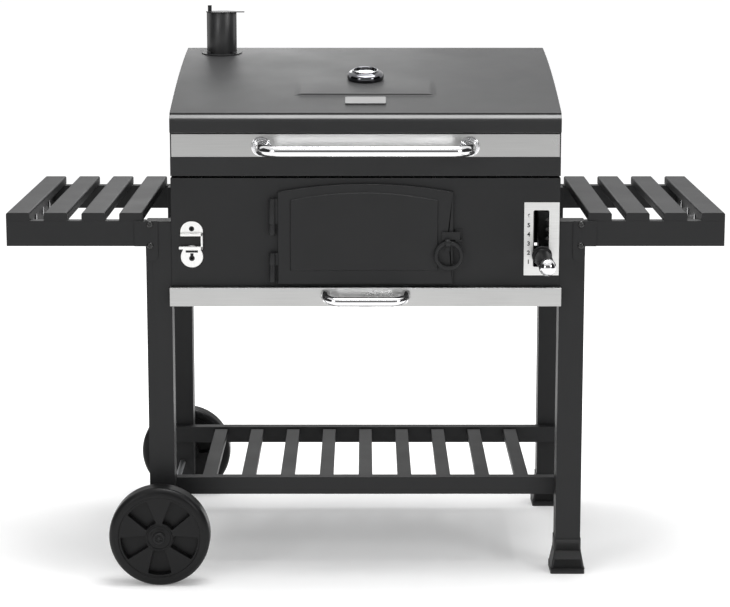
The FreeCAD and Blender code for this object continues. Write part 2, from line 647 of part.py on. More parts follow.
def bow_handle(half, reach, radius, bend):
    """A round bar bent twice, laid out about the origin; its arms run one radius past it."""
    far = f"-({reach}) - {MIDDLE}"
    near = f"{bend} - ({reach}) - {MIDDLE}"
    parts = [rod(radius, f"2 * ({half} - {bend})", f"-({half} - {bend})", far, "0", "x")]
    for side, turn in (("-", "180"), ("", "270")):
        arm = rod(radius, f"{reach} - {bend} + {radius}", f"{side}{half}", near, "0", "y")
        elbow = doc.addObject("Part::Torus", "elbow")
        bind(elbow, "Radius1", bend)
        bind(elbow, "Radius2", radius)
        bind(elbow, "Angle3", "90")
        place(elbow, f"{side}({half} - {bend})", near, "0", (Vector(0, 0, 1), turn))
        parts += [arm, elbow]
    return fuse(*parts)


# ---------------------------------------------------------------- lid
def roof(y, below="0"):
    """Height of the curved roof at y."""
    start = "sqrt(roof_radius^2 - (roof_crest - lip_back)^2)"
    return f"((box_top + roof_rise) - ({below}) + sqrt(roof_radius^2 - (roof_crest - ({y}))^2) - {start})"


def slope(y):
    """Slope of the roof at y, in degrees."""
    return f"asin((roof_crest - ({y})) / roof_radius)"


CORNER = "(frame_deep - box_inset) - corner_round"


def lid_shell():
    """A folded hood: proud lower band, recess for the steel band, rolled lip, curved roof, round back."""
    owner = body()
    skin = [("-front_proud", "(box_top + lid_rise)"), ("(frame_deep - box_inset)", "(box_top + lid_rise)"),
            ("(frame_deep - box_inset)", f"{roof(CORNER)} - corner_round", "corner_round"),
            (CORNER, roof(CORNER), "roof_radius"), ("lip_back", "(box_top + roof_rise)", "lip_round"),
            ("-lip_reach", "(box_top + lip_high)"), ("-lip_reach", "(box_top + lip_low)"),
            ("band_back", "(box_top + band_high)"),
            ("band_back", "(box_top + band_low)"), ("-front_proud", "(box_top + band_low)")]
    pad(owner, outline(owner, "YZ_Plane", skin), "2 * leg_inside", midplane=True)
    inside = "band_back + lid_wall"
    back = "(frame_deep - box_inset) - lid_wall"
    room = [(inside, "(box_top + lid_rise) - 5"), (back, "(box_top + lid_rise) - 5"),
            (back, f"{roof(CORNER)} - corner_round", "corner_round - lid_wall"),
            (CORNER, f"{roof(CORNER)} - lid_wall", "roof_radius - lid_wall"),
            (inside, f"{roof(inside, 'lid_wall')}")]
    pocket(owner, outline(owner, "YZ_Plane", room), "2 * (leg_inside - lid_wall)", midplane=True)
    place(owner)
    flue_hole = rod("flue_radius + gap", "200", "-flue_x", "flue_y", "900")
    stem_hole = cut_rod_tilt("stem_radius + gap", "60", "gauge_centre", "-30")
    piece("lid_shell", cut(owner, flue_hole, stem_hole))


def cut_rod_tilt(radius, length, y, below):
    """A rod square to the roof at y, starting this far from it."""
    bar = doc.addObject("Part::Cylinder", "rod")
    bind(bar, "Radius", radius)
    bind(bar, "Height", length)
    bar.Placement.Base = Vector(0, 0, value(below))
    bind(bar, "Placement.Base.z", below)
    return tilted(group(bar), "0", y, roof(y), slope(y))


def lid_front():
    """The steel band, its long handle on two rosettes, and the bare name plate."""
    face = "band_back - band_thick"
    end = "(leg_inside - band_inset)"
    high = ("(box_top + band_low)", "(box_top + band_high)")
    piece("lid_steel_band", box((f"-{end}", end), (face, "band_back"), high))
    rosettes = [rod("rosette_radius", "rosette_thick", f"{side}handle_half", f"{face} - rosette_thick",
                    "(box_top + handle_rise)", "y") for side in ("-", "")]
    piece("lid_handle_rosettes", group(*rosettes))
    start = f"{face} - rosette_thick"
    drop = "tan(handle_droop) * handle_reach"
    arms = []
    for side in ("-", ""):
        arm = doc.addObject("Part::Cylinder", "arm")
        bind(arm, "Radius", "handle_radius")
        bind(arm, "Height", "handle_reach / cos(handle_droop)")
        drooped = (Vector(1, 0, 0), "90 + handle_droop")
        arms.append(place(arm, f"{side}handle_half", start, "(box_top + handle_rise)", drooped))
        arms.append(ball("handle_radius", f"{side}handle_half", f"{start} - handle_reach",
                         f"box_top + handle_rise - {drop}"))
    bar = rod("handle_radius", "2 * handle_half", "-handle_half", f"{start} - handle_reach",
              f"(box_top + handle_rise) - {drop}", "x")
    behind = box(("-leg_inside", "leg_inside"), (start, "50"), ("box_top", "(box_top + roof_rise)"))
    piece("lid_handle", cut(fuse(bar, *arms), behind))
    plate = doc.addObject("Part::Box", "plate")
    bind(plate, "Length", "2 * plate_half")
    bind(plate, "Width", "plate_deep")
    bind(plate, "Height", "plate_thick")
    bind(plate, "Placement.Base.x", "-plate_half")
    bind(plate, "Placement.Base.y", "-plate_deep / 2")
    high = roof("plate_centre")
    piece("name_plate", tilted(group(plate), "0", "plate_centre", high, slope("plate_centre")))


def round_block(radius, height, z):
    """A rod about the local Z axis, to be tipped with the gauge."""
    disc = doc.addObject("Part::Cylinder", "disc")
    bind(disc, "Radius", radius)
    bind(disc, "Height", height)
    bind(disc, "Placement.Base.z", z)
    return disc


def thermometer():
    """A dial gauge on the roof: conical case with a stem, dial, needle on a pin, and lens."""
    def seat(thing):
        return tilted(group(thing), "0", "gauge_centre", roof("gauge_centre"), slope("gauge_centre"))
    cone = doc.addObject("Part::Cone", "cone")
    bind(cone, "Radius1", "gauge_base")
    bind(cone, "Radius2", "gauge_top")
    bind(cone, "Height", "gauge_tall")
    stem = round_block("stem_radius", "stem_long + gauge_tall - dial_depth - dial_thick", "-stem_long")
    floor = "gauge_tall - dial_depth"
    well = round_block("dial_radius", "dial_depth + 5", f"{floor} - dial_thick")
    pin_well = round_block("needle_pin + 1", "3", f"{floor} - dial_thick - 2")
    piece("thermometer_case", seat(cut(fuse(cone, stem), well, pin_well)))
    dial = cut(round_block("dial_radius", "dial_thick", f"{floor} - dial_thick"),
               round_block("needle_pin + shaft_slack", "4", f"{floor} - dial_thick - 2"))
    piece("thermometer_dial", seat(dial))
    lens = round_block("dial_radius", "lens_thick", "gauge_tall - lens_inset - lens_thick")
    piece("thermometer_lens", seat(lens))
    pointer = doc.addObject("Part::Box", "pointer")
    bind(pointer, "Length", "needle_wide")
    bind(pointer, "Width", "needle_long")
    bind(pointer, "Height", "needle_thick")
    bind(pointer, "Placement.Base.x", "-needle_wide / 2")
    bind(pointer, "Placement.Base.y", "-needle_long * 0.25")
    bind(pointer, "Placement.Base.z", f"{floor} + 1")
    hand = group(pointer)
    hand.Placement.Rotation = Rotation(Vector(0, 0, 1), 1)
    bind(hand, "Placement.Rotation.Angle", "needle_rest")
    pin = round_block("needle_pin", "dial_thick + 1 + needle_thick", f"{floor} - dial_thick")
    boss = round_block("3 * needle_pin", "needle_thick", f"{floor} + 1")
    piece("thermometer_needle", seat(fuse(hand, pin, boss)))


HINGE_Y = f"{REAR_FACE} + leaf_thick + knuckle_radius"
HINGE_Z = "(box_top + (box_top + lid_rise)) / 2"


def lid_hinges():
    """Two leaf hinges on the back; the pins are fixed in the lid's leaves."""
    for_lid, for_box = [], []
    for middle in ("-hinge_apart", "hinge_apart"):
        third = "leaf_wide / 6"
        wide = (f"{middle} - leaf_wide / 2", f"{middle} + leaf_wide / 2")
        inner = (f"{middle} - {third}", f"{middle} + {third}")
        deep = ("(frame_deep - box_inset)", "(frame_deep - box_inset) + leaf_thick")
        box_leaf = box(wide, deep, ("box_top - leaf_tall", "box_top - knuckle_radius"))
        tongue = box(inner, deep, ("box_top - knuckle_radius", HINGE_Z))
        barrel = rod("knuckle_radius", span(*inner), inner[0], HINGE_Y, HINGE_Z, "x")
        web = box(inner, ("(frame_deep - box_inset)", HINGE_Y), (f"{HINGE_Z} - knuckle_radius", HINGE_Z))
        bore = rod("hinge_pin + shaft_slack", "leaf_wide", wide[0], HINGE_Y, HINGE_Z, "x")
        for_box.append(cut(fuse(box_leaf, tongue, barrel, web), bore))
        lid_leaf = box(wide, deep, ("box_top + lid_rise + knuckle_radius",
                                    "box_top + lid_rise + leaf_tall"))
        parts = [lid_leaf, rod("hinge_pin", "leaf_wide", wide[0], HINGE_Y, HINGE_Z, "x")]
        for ends in ((wide[0], f"{inner[0]} - gap"), (f"{inner[1]} + gap", wide[1])):
            parts.append(rod("knuckle_radius", span(*ends), ends[0], HINGE_Y, HINGE_Z, "x"))
            parts.append(box(ends, (REAR_FACE, HINGE_Y), (HINGE_Z, f"{HINGE_Z} + knuckle_radius")))
            parts.append(box(ends, deep, (f"{HINGE_Z} + knuckle_radius",
                                          "box_top + lid_rise + knuckle_radius")))
        for_lid.append(fuse(*parts))
    piece("lid_hinge_box_leaves", group(*for_box))
    piece("lid_hinge_lid_leaves", group(*for_lid))


def chimney():
    """A short flue on a tipped flange, under a cap plate that swivels on a pin in a lug."""
    low = roof("flue_y", "14")
    outer = rod("flue_radius", span(low, "(box_top + flue_rise)"), "-flue_x", "flue_y", low)
    bore = rod("flue_radius - flue_wall", "300", "-flue_x", "flue_y", "900")
    pivot_x = "-flue_x - cap_pivot"
    lug = rod("cap_lug", "12", pivot_x, "flue_y", "(box_top + flue_rise) - 12")
    pin_hole = rod("cap_pin + shaft_slack", "30", pivot_x, "flue_y", "(box_top + flue_rise) - 10")
    piece("chimney_flue", cut(fuse(cut(outer, bore), lug), pin_hole))
    disc = round_block("flange_radius", "flange_thick", "gap")
    heads = []
    for angle in range(45, 360, 90):
        head = round_block("flange_head", "flange_head_tall", "gap + flange_thick")
        bind(head, "Placement.Base.x", f"flange_bolt * cos({angle})")
        bind(head, "Placement.Base.y", f"flange_bolt * sin({angle})")
        heads.append(head)
    plate = tilted(group(fuse(disc, *heads)), "-flue_x", "flue_y", roof("flue_y"), slope("flue_y"))
    hole = rod("flue_radius + shaft_slack", "300", "-flue_x", "flue_y", "900")
    piece("chimney_flange", cut(plate, hole))
    top = "(box_top + flue_rise) + gap"
    lid_plate = rod("cap_radius", "cap_plate", "-flue_x", "flue_y", top)
    tab = box(("-flue_x", "-flue_x + cap_tab"), ("flue_y - cap_tab_wide / 2", "flue_y + cap_tab_wide / 2"),
              (top, f"{top} + cap_plate"))
    pin = rod("cap_pin", "9 + gap + cap_plate", pivot_x, "flue_y", "(box_top + flue_rise) - 9")
    wing = box((f"{pivot_x} - wing_wide / 2", f"{pivot_x} + wing_wide / 2"), ("flue_y - 2", "flue_y + 2"),
               (f"{top} + cap_plate", f"{top} + cap_plate + wing_tall"))
    piece("chimney_cap", fuse(lid_plate, tab, pin, wing))


# ---------------------------------------------------------------- front door
DOOR_BACK = "-box_wall - door_gap"
DOOR_FACE = "-box_wall - door_gap - door_deep"


def front_door():
    """An arched pan-shaped door with a raised inner panel."""
    owner = body()
    shape = arch("-door_half", "door_half", "door_base", "door_side", "door_rise")
    pad(owner, outline(owner, "XZ_Plane", shape), "door_deep")
    shape = arch("-raise_left", "raise_right", "raise_base", "raise_side", "raise_rise")
    pad(owner, outline(owner, "XZ_Plane", shape), "door_deep + raise_thick")
    shape = arch("-door_half + door_wall", "door_half - door_wall", "door_base + door_wall",
                 "door_side - door_wall", "door_rise")
    pocket(owner, outline(owner, "XZ_Plane", shape), "door_deep - door_wall", backwards=True)
    place(owner, "0", DOOR_BACK, "0")
    pivot = rod("latch_pin + shaft_slack", "30", "latch_x", f"{DOOR_FACE} - 10",
                "latch_base + latch_tall / 2", "y")
    piece("front_door", cut(owner, pivot))
    straps, seats = [], []
    axis = ("-door_axis", "-box_wall - door_axis_out")
    for base, top, seat in (("upper_barrel", "upper_top", "barrel_seat"),
                            ("lower_barrel", "lower_top", "lower_seat")):
        barrel = rod("barrel_radius", span(base, top), *axis, base)
        arm = box(("-door_axis", "-door_half"), (DOOR_FACE, f"{DOOR_FACE} + 3"), (base, top))
        pin = rod("barrel_pin", "barrel_seat - 4 + 5", *axis, f"{base} - barrel_seat + 4")
        straps.append(fuse(barrel, arm, pin))
        low = (f"{base} - {seat}", f"{base} - gap")
        cup = rod("barrel_radius", span(*low), *axis, low[0])
        foot = box(("-door_axis - 2", "-door_axis + barrel_radius"),
                   ("-box_wall - door_axis_out", FRONT), low)
        hole = rod("barrel_pin + shaft_slack", "barrel_seat", *axis, f"{base} - barrel_seat + 3")
        seats.append(cut(fuse(cup, foot), hole))
    piece("door_hinge_straps", group(*straps))
    piece("door_hinge_seats", group(*seats))


def latch():
    """A bar that drops onto a keeper, pivoted on the door, with a strap that loops round a pull ring."""
    back = f"{DOOR_FACE} - gap"
    face = f"{back} - latch_thick"
    high = ("latch_base", "latch_base + latch_tall")
    bar = box(("latch_left", "latch_right"), (face, back), high)
    pin = rod("latch_pin", "latch_thick + 2 + gap + door_wall", "latch_x", face,
              "latch_base + latch_tall / 2", "y")
    left = "strap_x - strap_wide / 2"
    strap = box((left, f"{left} + strap_wide"), (f"{back} - loop_wall", back), ("strap_base", "latch_base"))
    eye = "ring_wire + ring_slack"
    eye_y = f"{back} - loop_wall - ({eye})"
    eye_z = "ring_high + ring_radius"
    loop = rod(f"{eye} + loop_wall", "strap_wide", left, eye_y, eye_z, "x")
    hole = rod(eye, "strap_wide", left, eye_y, eye_z, "x")
    piece("latch_bar", fuse(cut(fuse(bar, strap, loop), hole), pin))
    ring = doc.addObject("Part::Torus", "ring")
    bind(ring, "Radius1", "ring_radius")
    bind(ring, "Radius2", "ring_wire")
    piece("latch_ring", place(ring, "ring_x", eye_y, "ring_high", (Vector(1, 0, 0), "90")))
    wide = ("keeper_left", "keeper_right")
    plate = box(wide, ("-box_wall - keeper_thick", FRONT), ("keeper_base", "keeper_top"))
    step = box(wide, (f"{back} - 3", FRONT), ("latch_base - gap - 4", "latch_base - gap"))
    piece("latch_keeper", fuse(plate, step))


def bottle_opener():
    """A long round-ended plate with a window and a prying lip under it."""
    middle = "-(opener_left + opener_right) / 2"
    round_end = "(opener_left - opener_right) / 2"
    thick = "opener_thick"
    ends = [rod(round_end, thick, middle, f"{FRONT} - opener_thick", z, "y")
            for z in (f"opener_base + {round_end}", f"opener_top - {round_end}")]
    web = box(("-opener_left", "-opener_right"), (f"{FRONT} - opener_thick", FRONT),
              (f"opener_base + {round_end}", f"opener_top - {round_end}"))
    window = box((f"{middle} - window_half", f"{middle} + window_half"), ("-20", "20"),
                 ("window_base", "window_top"))
    lip = box((f"{middle} - window_half + 2", f"{middle} + window_half - 2"),
              (f"{FRONT} - opener_lip", FRONT), ("window_base - 4", "window_base"))
    bridge = box((f"{middle} - window_half - 2", f"{middle} + window_half + 2"),
                 (f"{FRONT} - opener_lip", FRONT), ("window_top", "window_top + 3"))
    piece("bottle_opener", fuse(cut(fuse(*ends, web), window), lip, bridge))


# ---------------------------------------------------------------- lever and charcoal pan
def scale_plate():
    """A steel plate round the slot, with six lever heights beside it."""
    deep = (f"{FRONT} - scale_thick", FRONT)
    plate = box(("scale_left", "scale_right"), deep, ("scale_base", "scale_top"))
    slot = box(("slot_left", "slot_right"), ("-20", "20"), ("slot_base", "slot_top"))
    piece("lever_scale_plate", cut(plate, slot))


def lever():
    """A rod welded to the lift frame comes out through the slot and carries guard, grip and ball."""
    start = "-lever_reach + ball_radius"
    bar = rod("lever_radius", f"coal_front - 4 - ({start})", "lever_x", start, "lever_high", "y")
    post = box(("post_x - 3", "post_x + 3"), ("coal_front - strip_wide - 4", "coal_front - 4"),
               ("coal_base - strip", "lever_high"))
    front = box(("-coal_half", "post_x + 3"), ("coal_front - strip_wide - 4", "coal_front - 4"),
                ("coal_base - strip", "coal_base"))
    rear = box(("-coal_half", "coal_half"), (f"{COAL_BACK} - strip_wide", COAL_BACK),
               ("coal_base - strip", "coal_base"))
    runs = [box((f"{side}coal_half * 0.8 - 10", f"{side}coal_half * 0.8 + 10"),
                ("coal_front - 6", f"{COAL_BACK} - 2"), ("coal_base - strip", "coal_base"))
            for side in ("-", "")]
    reach = "leg_inside - box_wall - guide_deep + guide_slot - 0.7"
    tabs = box((f"-({reach})", reach), ("guide_y + 10.5", "guide_y + guide_wide - 10.5"),
               ("coal_base - strip", "coal_base"))
    piece("lift_frame", fuse(bar, post, front, rear, tabs, *runs))
    guard = rod("guard_radius", "guard_thick", "lever_x", "-guard_out - guard_thick", "lever_high", "y")
    grip = rod("grip_radius", "grip_long", "lever_x", "-grip_out - grip_long", "lever_high", "y")
    neck = rod("grip_radius * 0.7", "grip_out - guard_out", "lever_x", "-grip_out", "lever_high", "y")
    through = rod("lever_radius + shaft_slack", "300", "lever_x", "-250", "lever_high", "y")
    piece("lever_grip", cut(fuse(guard, neck, grip), through))
    end_ball = ball("ball_radius", "lever_x", start, "lever_high")
    seat = rod("lever_radius + shaft_slack", "60", "lever_x", f"{start} - gap", "lever_high", "y")
    clear = box(("lever_x - 40", "lever_x + 40"), ("-grip_out - grip_long", "0"),
                ("lever_high - 40", "lever_high + 40"))
    piece("lever_ball", cut(end_ball, seat, clear))


def charcoal_pan():
    """An open pan on the lift frame, and the channels that keep the frame level."""
    outer = box(("-coal_half", "coal_half"), ("coal_front", COAL_BACK),
                ("coal_base", "coal_base + coal_tall"))
    room = box(("-coal_half + coal_wall", "coal_half - coal_wall"),
               ("coal_front + coal_wall", f"{COAL_BACK} - coal_wall"),
               ("coal_base + coal_wall", "coal_base + coal_tall + 5"))
    piece("charcoal_pan", cut(outer, room))
    channels = []
    for side in ("left", "right"):
        near = "leg_inside - box_wall - guide_deep"
        block = box(ordered(side, near, "leg_inside - box_wall"), ("guide_y", "guide_y + guide_wide"),
                    ("guide_base", "guide_top"))
        slot = box(ordered(side, f"{near} - 1", f"{near} + guide_slot"),
                   ("guide_y + 10", "guide_y + guide_wide - 10"), ("guide_base - 1", "guide_top + 1"))
        channels.append(cut(block, slot))
    piece("lift_guides", group(*channels))


def build():
    """Make every piece in order."""
    fill_sheet()
    legs()
    leg_caps()
    foot_boots()
    wheels()
    side_shelves()
    shelf_brackets()
    shelf_bolts()
    utensil_hooks()
    bottom_shelf()
    firebox()
    grates()
    ash_drawer()
    lid_shell()
    lid_front()
    thermometer()
    lid_hinges()
    chimney()
    front_door()
    latch()
    bottle_opener()
    scale_plate()
    lever()
    charcoal_pan()
    doc.recompute()


def write():
    """Check the document, then write one STEP file for each piece."""
    for thing in doc.Objects:
        if any(word in thing.State for word in ("Invalid", "Error")):
            raise RuntimeError(f"{thing.Name} ({thing.Label}) failed: {thing.State}")
    for thing in pieces:
        if thing.Shape.isNull() or not thing.Shape.isValid() or not thing.Shape.Solids:
            raise RuntimeError(f"{thing.Label} has no valid solid")
    os.makedirs("parts", exist_ok=True)
    for thing in pieces:
        thing.Shape.exportStep(f"parts/{thing.Label}.step")
        edges = thing.Shape.BoundBox
        print(f"{thing.Label:22s} solids {len(thing.Shape.Solids):2d}  x {edges.XMin:7.1f} {edges.XMax:7.1f}"
              f"  y {edges.YMin:7.1f} {edges.YMax:7.1f}  z {edges.ZMin:7.1f} {edges.ZMax:7.1f}")
    print(len(pieces), "pieces")


build()
write()
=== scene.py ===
# %% [markdown]
# # A charcoal grill cart, finished in Blender
# The construction comes in as a fixed frame: every sheet, tube, bolt and hinge at its real place.
# This file gives each of them its finish, and models the pieces whose looks depend on soft edges,
# spun curves and embossing: the hood, the handles, the wheels, the boots and the gauge.

# %% Load the frame
import json
import math

import bmesh
import bpy
from mathutils import Matrix, Vector


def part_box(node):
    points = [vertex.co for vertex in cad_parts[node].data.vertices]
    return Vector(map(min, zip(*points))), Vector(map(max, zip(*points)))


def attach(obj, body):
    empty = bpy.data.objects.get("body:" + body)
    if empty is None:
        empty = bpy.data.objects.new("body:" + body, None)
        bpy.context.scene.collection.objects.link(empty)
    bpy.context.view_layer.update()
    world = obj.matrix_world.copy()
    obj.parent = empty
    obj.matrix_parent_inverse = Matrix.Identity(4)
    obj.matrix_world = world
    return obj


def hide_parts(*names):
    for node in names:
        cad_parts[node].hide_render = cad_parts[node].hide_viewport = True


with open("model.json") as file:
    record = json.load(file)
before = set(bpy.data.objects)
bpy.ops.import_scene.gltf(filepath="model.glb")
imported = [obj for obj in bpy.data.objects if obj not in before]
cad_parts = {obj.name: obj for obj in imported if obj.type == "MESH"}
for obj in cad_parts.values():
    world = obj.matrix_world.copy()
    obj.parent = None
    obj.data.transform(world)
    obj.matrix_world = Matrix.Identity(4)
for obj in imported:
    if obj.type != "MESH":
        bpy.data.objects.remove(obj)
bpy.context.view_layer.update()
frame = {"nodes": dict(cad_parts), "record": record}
nodes = frame["nodes"]
print("pieces in the frame:", len(nodes))

# %% [markdown]
# ## Where the viewer stands
# The cart is seen from the front through a long lens, a little above its lid. A long lens keeps the
# front edges nearly parallel, and the small tilt shows the roof, the slats and the bottom shelf. The
# distance is counted from the front faces of the legs, because they are what the eye lines up first.

# %% Camera
def placed(name, data):
    """A new object in the scene."""
    thing = bpy.data.objects.new(name, data)
    bpy.context.scene.collection.objects.link(thing)
    return thing


LEG_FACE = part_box("leg_front_left")[0].y
VIEW_DISTANCE = 4.498
VIEW_HEIGHT = 1.3708
VIEW_TILT = math.radians(10.323)
LENS_MM = 114.25

camera = placed("camera", bpy.data.cameras.new("camera"))
camera.data.lens = LENS_MM
camera.data.sensor_width = 36
camera.location = (-0.001, LEG_FACE - VIEW_DISTANCE, VIEW_HEIGHT)
camera.rotation_euler = (math.radians(90) - VIEW_TILT, 0, 0)
bpy.context.scene.camera = camera
print("camera", tuple(round(c, 3) for c in camera.location))

# %% [markdown]
# ## Building blocks for the finishes
# Every finish is a Principled shader fed by noise on Object coordinates, which are metres here, so a
# noise scale of 1000 is a grain of about a millimetre. A few small helpers keep the materials short.

# %% Material helpers
def grey(shade):
    """The same shade in red, green and blue."""
    return shade, shade, shade


def start_finish(name):
    """A new material and its tree and shader."""
    finish = bpy.data.materials.new(name)
    finish.use_nodes = True
    return finish, finish.node_tree, finish.node_tree.nodes["Principled BSDF"]


def dialled(node, values):
    """Set the inputs of a shader node by name."""
    for name, value in values.items():
        node.inputs[name].default_value = value


def grain(tree, scale, stretch=(1, 1, 1), detail=2.0):
    """Noise over the piece; stretch lengthens it where the number is small."""
    place = tree.nodes.new("ShaderNodeTexCoord")
    mapping = tree.nodes.new("ShaderNodeMapping")
    noise = tree.nodes.new("ShaderNodeTexNoise")
    dialled(mapping, {"Scale": stretch})
    dialled(noise, {"Scale": scale, "Detail": detail})
    tree.links.new(place.outputs["Object"], mapping.inputs["Vector"])
    tree.links.new(mapping.outputs["Vector"], noise.inputs["Vector"])
    return noise.outputs["Fac"]


def ranged(tree, value, low, high, start=0.3, end=0.7):
    """The noise mapped from its busy middle to low..high."""
    span = tree.nodes.new("ShaderNodeMapRange")
    dialled(span, {"From Min": start, "From Max": end, "To Min": low, "To Max": high})
    tree.links.new(value, span.inputs["Value"])
    return span.outputs["Result"]


def tinted(tree, value, dark, light):
    """A colour between two, picked by a noise."""
    ramp = tree.nodes.new("ShaderNodeValToRGB")
    ramp.color_ramp.elements[0].position = 0.3
    ramp.color_ramp.elements[0].color = (*dark, 1)
    ramp.color_ramp.elements[1].position = 0.7
    ramp.color_ramp.elements[1].color = (*light, 1)
    tree.links.new(value, ramp.inputs["Fac"])
    return ramp.outputs["Color"]


def bumped(tree, shader, height, distance, strength=1.0):
    """Bump of a real depth in metres."""
    bump = tree.nodes.new("ShaderNodeBump")
    dialled(bump, {"Distance": distance, "Strength": strength})
    tree.links.new(height, bump.inputs["Height"])
    tree.links.new(bump.outputs["Normal"], shader.inputs["Normal"])


# %% [markdown]
# ## Powder coat
# The sheet and tube are sprayed with powder and baked. That leaves a charcoal skin with a fine pebble,
# much smaller than a millimetre, and a soft sheen that changes a little from place to place. The
# pebble is bump; the slow change is a second, larger noise on roughness and colour. The flue and the
# rolled lip of the lid have a smoother, glossier coat, and its colour is a little lighter as a painted
# highlight.

# %% Powder coat
def skinned(name, cloud, dark, light, rough, skin, sheen):
    """A finish with a slow cloud in colour and roughness, and a fine grain as bump."""
    finish, tree, shader = start_finish(name)
    cloud = grain(tree, cloud[0], detail=cloud[1])
    tree.links.new(tinted(tree, cloud, dark, light), shader.inputs["Base Color"])
    tree.links.new(ranged(tree, cloud, *rough), shader.inputs["Roughness"])
    bumped(tree, shader, grain(tree, skin[0]), *skin[1:])
    dialled(shader, {"Specular IOR Level": sheen})
    return finish


def powder_coat(name, dark, light, rough, sheen):
    """Baked matt paint with a fine pebble."""
    return skinned(name, (7.0, 4.0), dark, light, (rough - 0.04, rough + 0.05), (1500.0, 0.00012, 0.35),
                   sheen)


CHARCOAL = ((0.0130, 0.0132, 0.0138), (0.0165, 0.0167, 0.0173))
COAT = powder_coat("powder_coat", *CHARCOAL, 0.47, 0.25)
COAT_HOOD = powder_coat("powder_coat_hood", *CHARCOAL, 0.50, 0.32)
# The satin coat is lighter than the charcoal: a painted highlight on the flue and the rolled lip, with real
# gloss.
COAT_SATIN_LIT = powder_coat("powder_coat_satin_lit", (0.0180, 0.0182, 0.0188), (0.0210, 0.0212, 0.0218), 0.36, 0.55)
COAT_DARK = powder_coat("powder_coat_dark", (0.008, 0.008, 0.009), (0.012, 0.012, 0.013), 0.42, 0.3)
print("powder coats made")

# %% [markdown]
# ## Steel
# The lid band, drawer front and scale plate are brushed along their length, so their scratches are a
# noise stretched far along X. Chromed tube is a mirror with only a breath of haze. The gauge has the
# same chrome coloured much darker, painted shade that dims the lamp mirrored in it. Plain zinc sheet
# has a coarse spangle and no direction.

# %% Steel finishes
def brushed_steel(name, shade, rough, stretch):
    """Steel with long scratches along one axis."""
    finish, tree, shader = start_finish(name)
    scratch = grain(tree, 900.0, stretch, 3.0)
    haze = grain(tree, 9.0, (1, 1, 1), 3.0)
    tree.links.new(tinted(tree, scratch, [c * 0.9 for c in shade], shade), shader.inputs["Base Color"])
    tree.links.new(ranged(tree, haze, rough - 0.03, rough + 0.05), shader.inputs["Roughness"])
    bumped(tree, shader, scratch, 0.00002, 0.5)
    dialled(shader, {"Metallic": 1.0})
    return finish


def chrome_plate(name, shade=0.78, rough=0.07):
    """Bright plating with faint haze."""
    finish, tree, shader = start_finish(name)
    haze = grain(tree, 25.0, detail=3.0)
    tree.links.new(ranged(tree, haze, rough - 0.02, rough + 0.03), shader.inputs["Roughness"])
    dialled(shader, {"Base Color": (shade, shade, shade + 0.01, 1), "Metallic": 1.0})
    return finish


def zinc_sheet(name):
    """Plain galvanised sheet with a soft spangle."""
    finish, tree, shader = start_finish(name)
    spangle = grain(tree, 140.0, detail=1.0)
    tree.links.new(tinted(tree, spangle, (0.36, 0.37, 0.38), (0.47, 0.48, 0.49)), shader.inputs["Base Color"])
    tree.links.new(ranged(tree, spangle, 0.34, 0.48), shader.inputs["Roughness"])
    dialled(shader, {"Metallic": 1.0})
    return finish


STEEL = brushed_steel("brushed_steel", (0.48, 0.48, 0.475), 0.30, (0.01, 1, 1))
STEEL_PLATE = brushed_steel("brushed_plate", (0.74, 0.74, 0.73), 0.34, (0.02, 1, 1))
# The name plate's metal is coloured dark: painted shade that dims the lamp mirrored in it.
BADGE_SHADED = brushed_steel("badge_metal_shaded", (0.19, 0.19, 0.19), 0.5, (0.02, 1, 1))
PRESSED = brushed_steel("pressed_strip", (0.90, 0.90, 0.89), 0.34, (1, 1, 0.05))
CHROME = chrome_plate("chrome_plate")
# The gauge chrome is coloured dark: painted shade that dims the lamps mirrored in the bezel.
CHROME_GAUGE_SHADED = chrome_plate("chrome_gauge_shaded", 0.13)
ZINC = zinc_sheet("zinc_sheet")
print("steel finishes made")

# %% [markdown]
# ## Mouldings, enamel, dial and glass
# The wheels, boots and caps are moulded in black plastic with a fine leathery grain. The cooking wire
# is enamelled, so it is glossier than the powder coat. The gauge has a satin dial behind clear glass,
# coloured dark grey as the painted shade of its recess under the ring.

# %% Plastic, enamel, dial and glass
def moulded(name, dark, light, rough, pebble, sheen=0.5):
    """Moulded plastic or enamel with its own grain."""
    return skinned(name, (18.0, 3.0), dark, light, (rough - 0.05, rough + 0.05), (2200.0, pebble, 0.4),
                   sheen)


def clear_glass(name):
    """A thin clear pane."""
    finish, tree, shader = start_finish(name)
    smudge = grain(tree, 60.0)
    dialled(shader, {"Base Color": (0.95, 0.97, 0.97, 1), "Transmission Weight": 1.0, "IOR": 1.45,
                     "Specular IOR Level": 0.12})
    tree.links.new(ranged(tree, smudge, 0.0, 0.03), shader.inputs["Roughness"])
    return finish


PLASTIC = moulded("black_plastic", (0.011, 0.011, 0.0115), (0.014, 0.014, 0.0145), 0.5, 0.00008, 0.25)
BOOT_PLASTIC = moulded("boot_plastic", (0.019, 0.019, 0.0195), (0.023, 0.023, 0.0235), 0.5, 0.00008, 0.3)
WHEEL_PLASTIC = moulded("wheel_plastic", (0.006, 0.006, 0.0063), (0.009, 0.009, 0.0093), 0.36, 0.00006, 0.18)
ENAMEL = moulded("grate_enamel", grey(0.02), grey(0.03), 0.25, 0.00003)
# The dial is coloured dark grey: painted shade of its recess under the glass.
DIAL_SHADED = moulded("dial_face_shaded", (0.055, 0.055, 0.054), (0.075, 0.075, 0.073), 0.5, 0.00001, 0.2)
INK = moulded("dial_ink", grey(0.008), grey(0.012), 0.6, 0.00001, 0.2)
BOLT = moulded("bolt_finish", grey(0.012), grey(0.016), 0.22, 0.00002)
NEEDLE_RED = moulded("needle_red", (0.42, 0.03, 0.02), (0.5, 0.04, 0.03), 0.4, 0.00001)
GLASS = clear_glass("gauge_glass")
print("mouldings, enamel, dial and glass made")

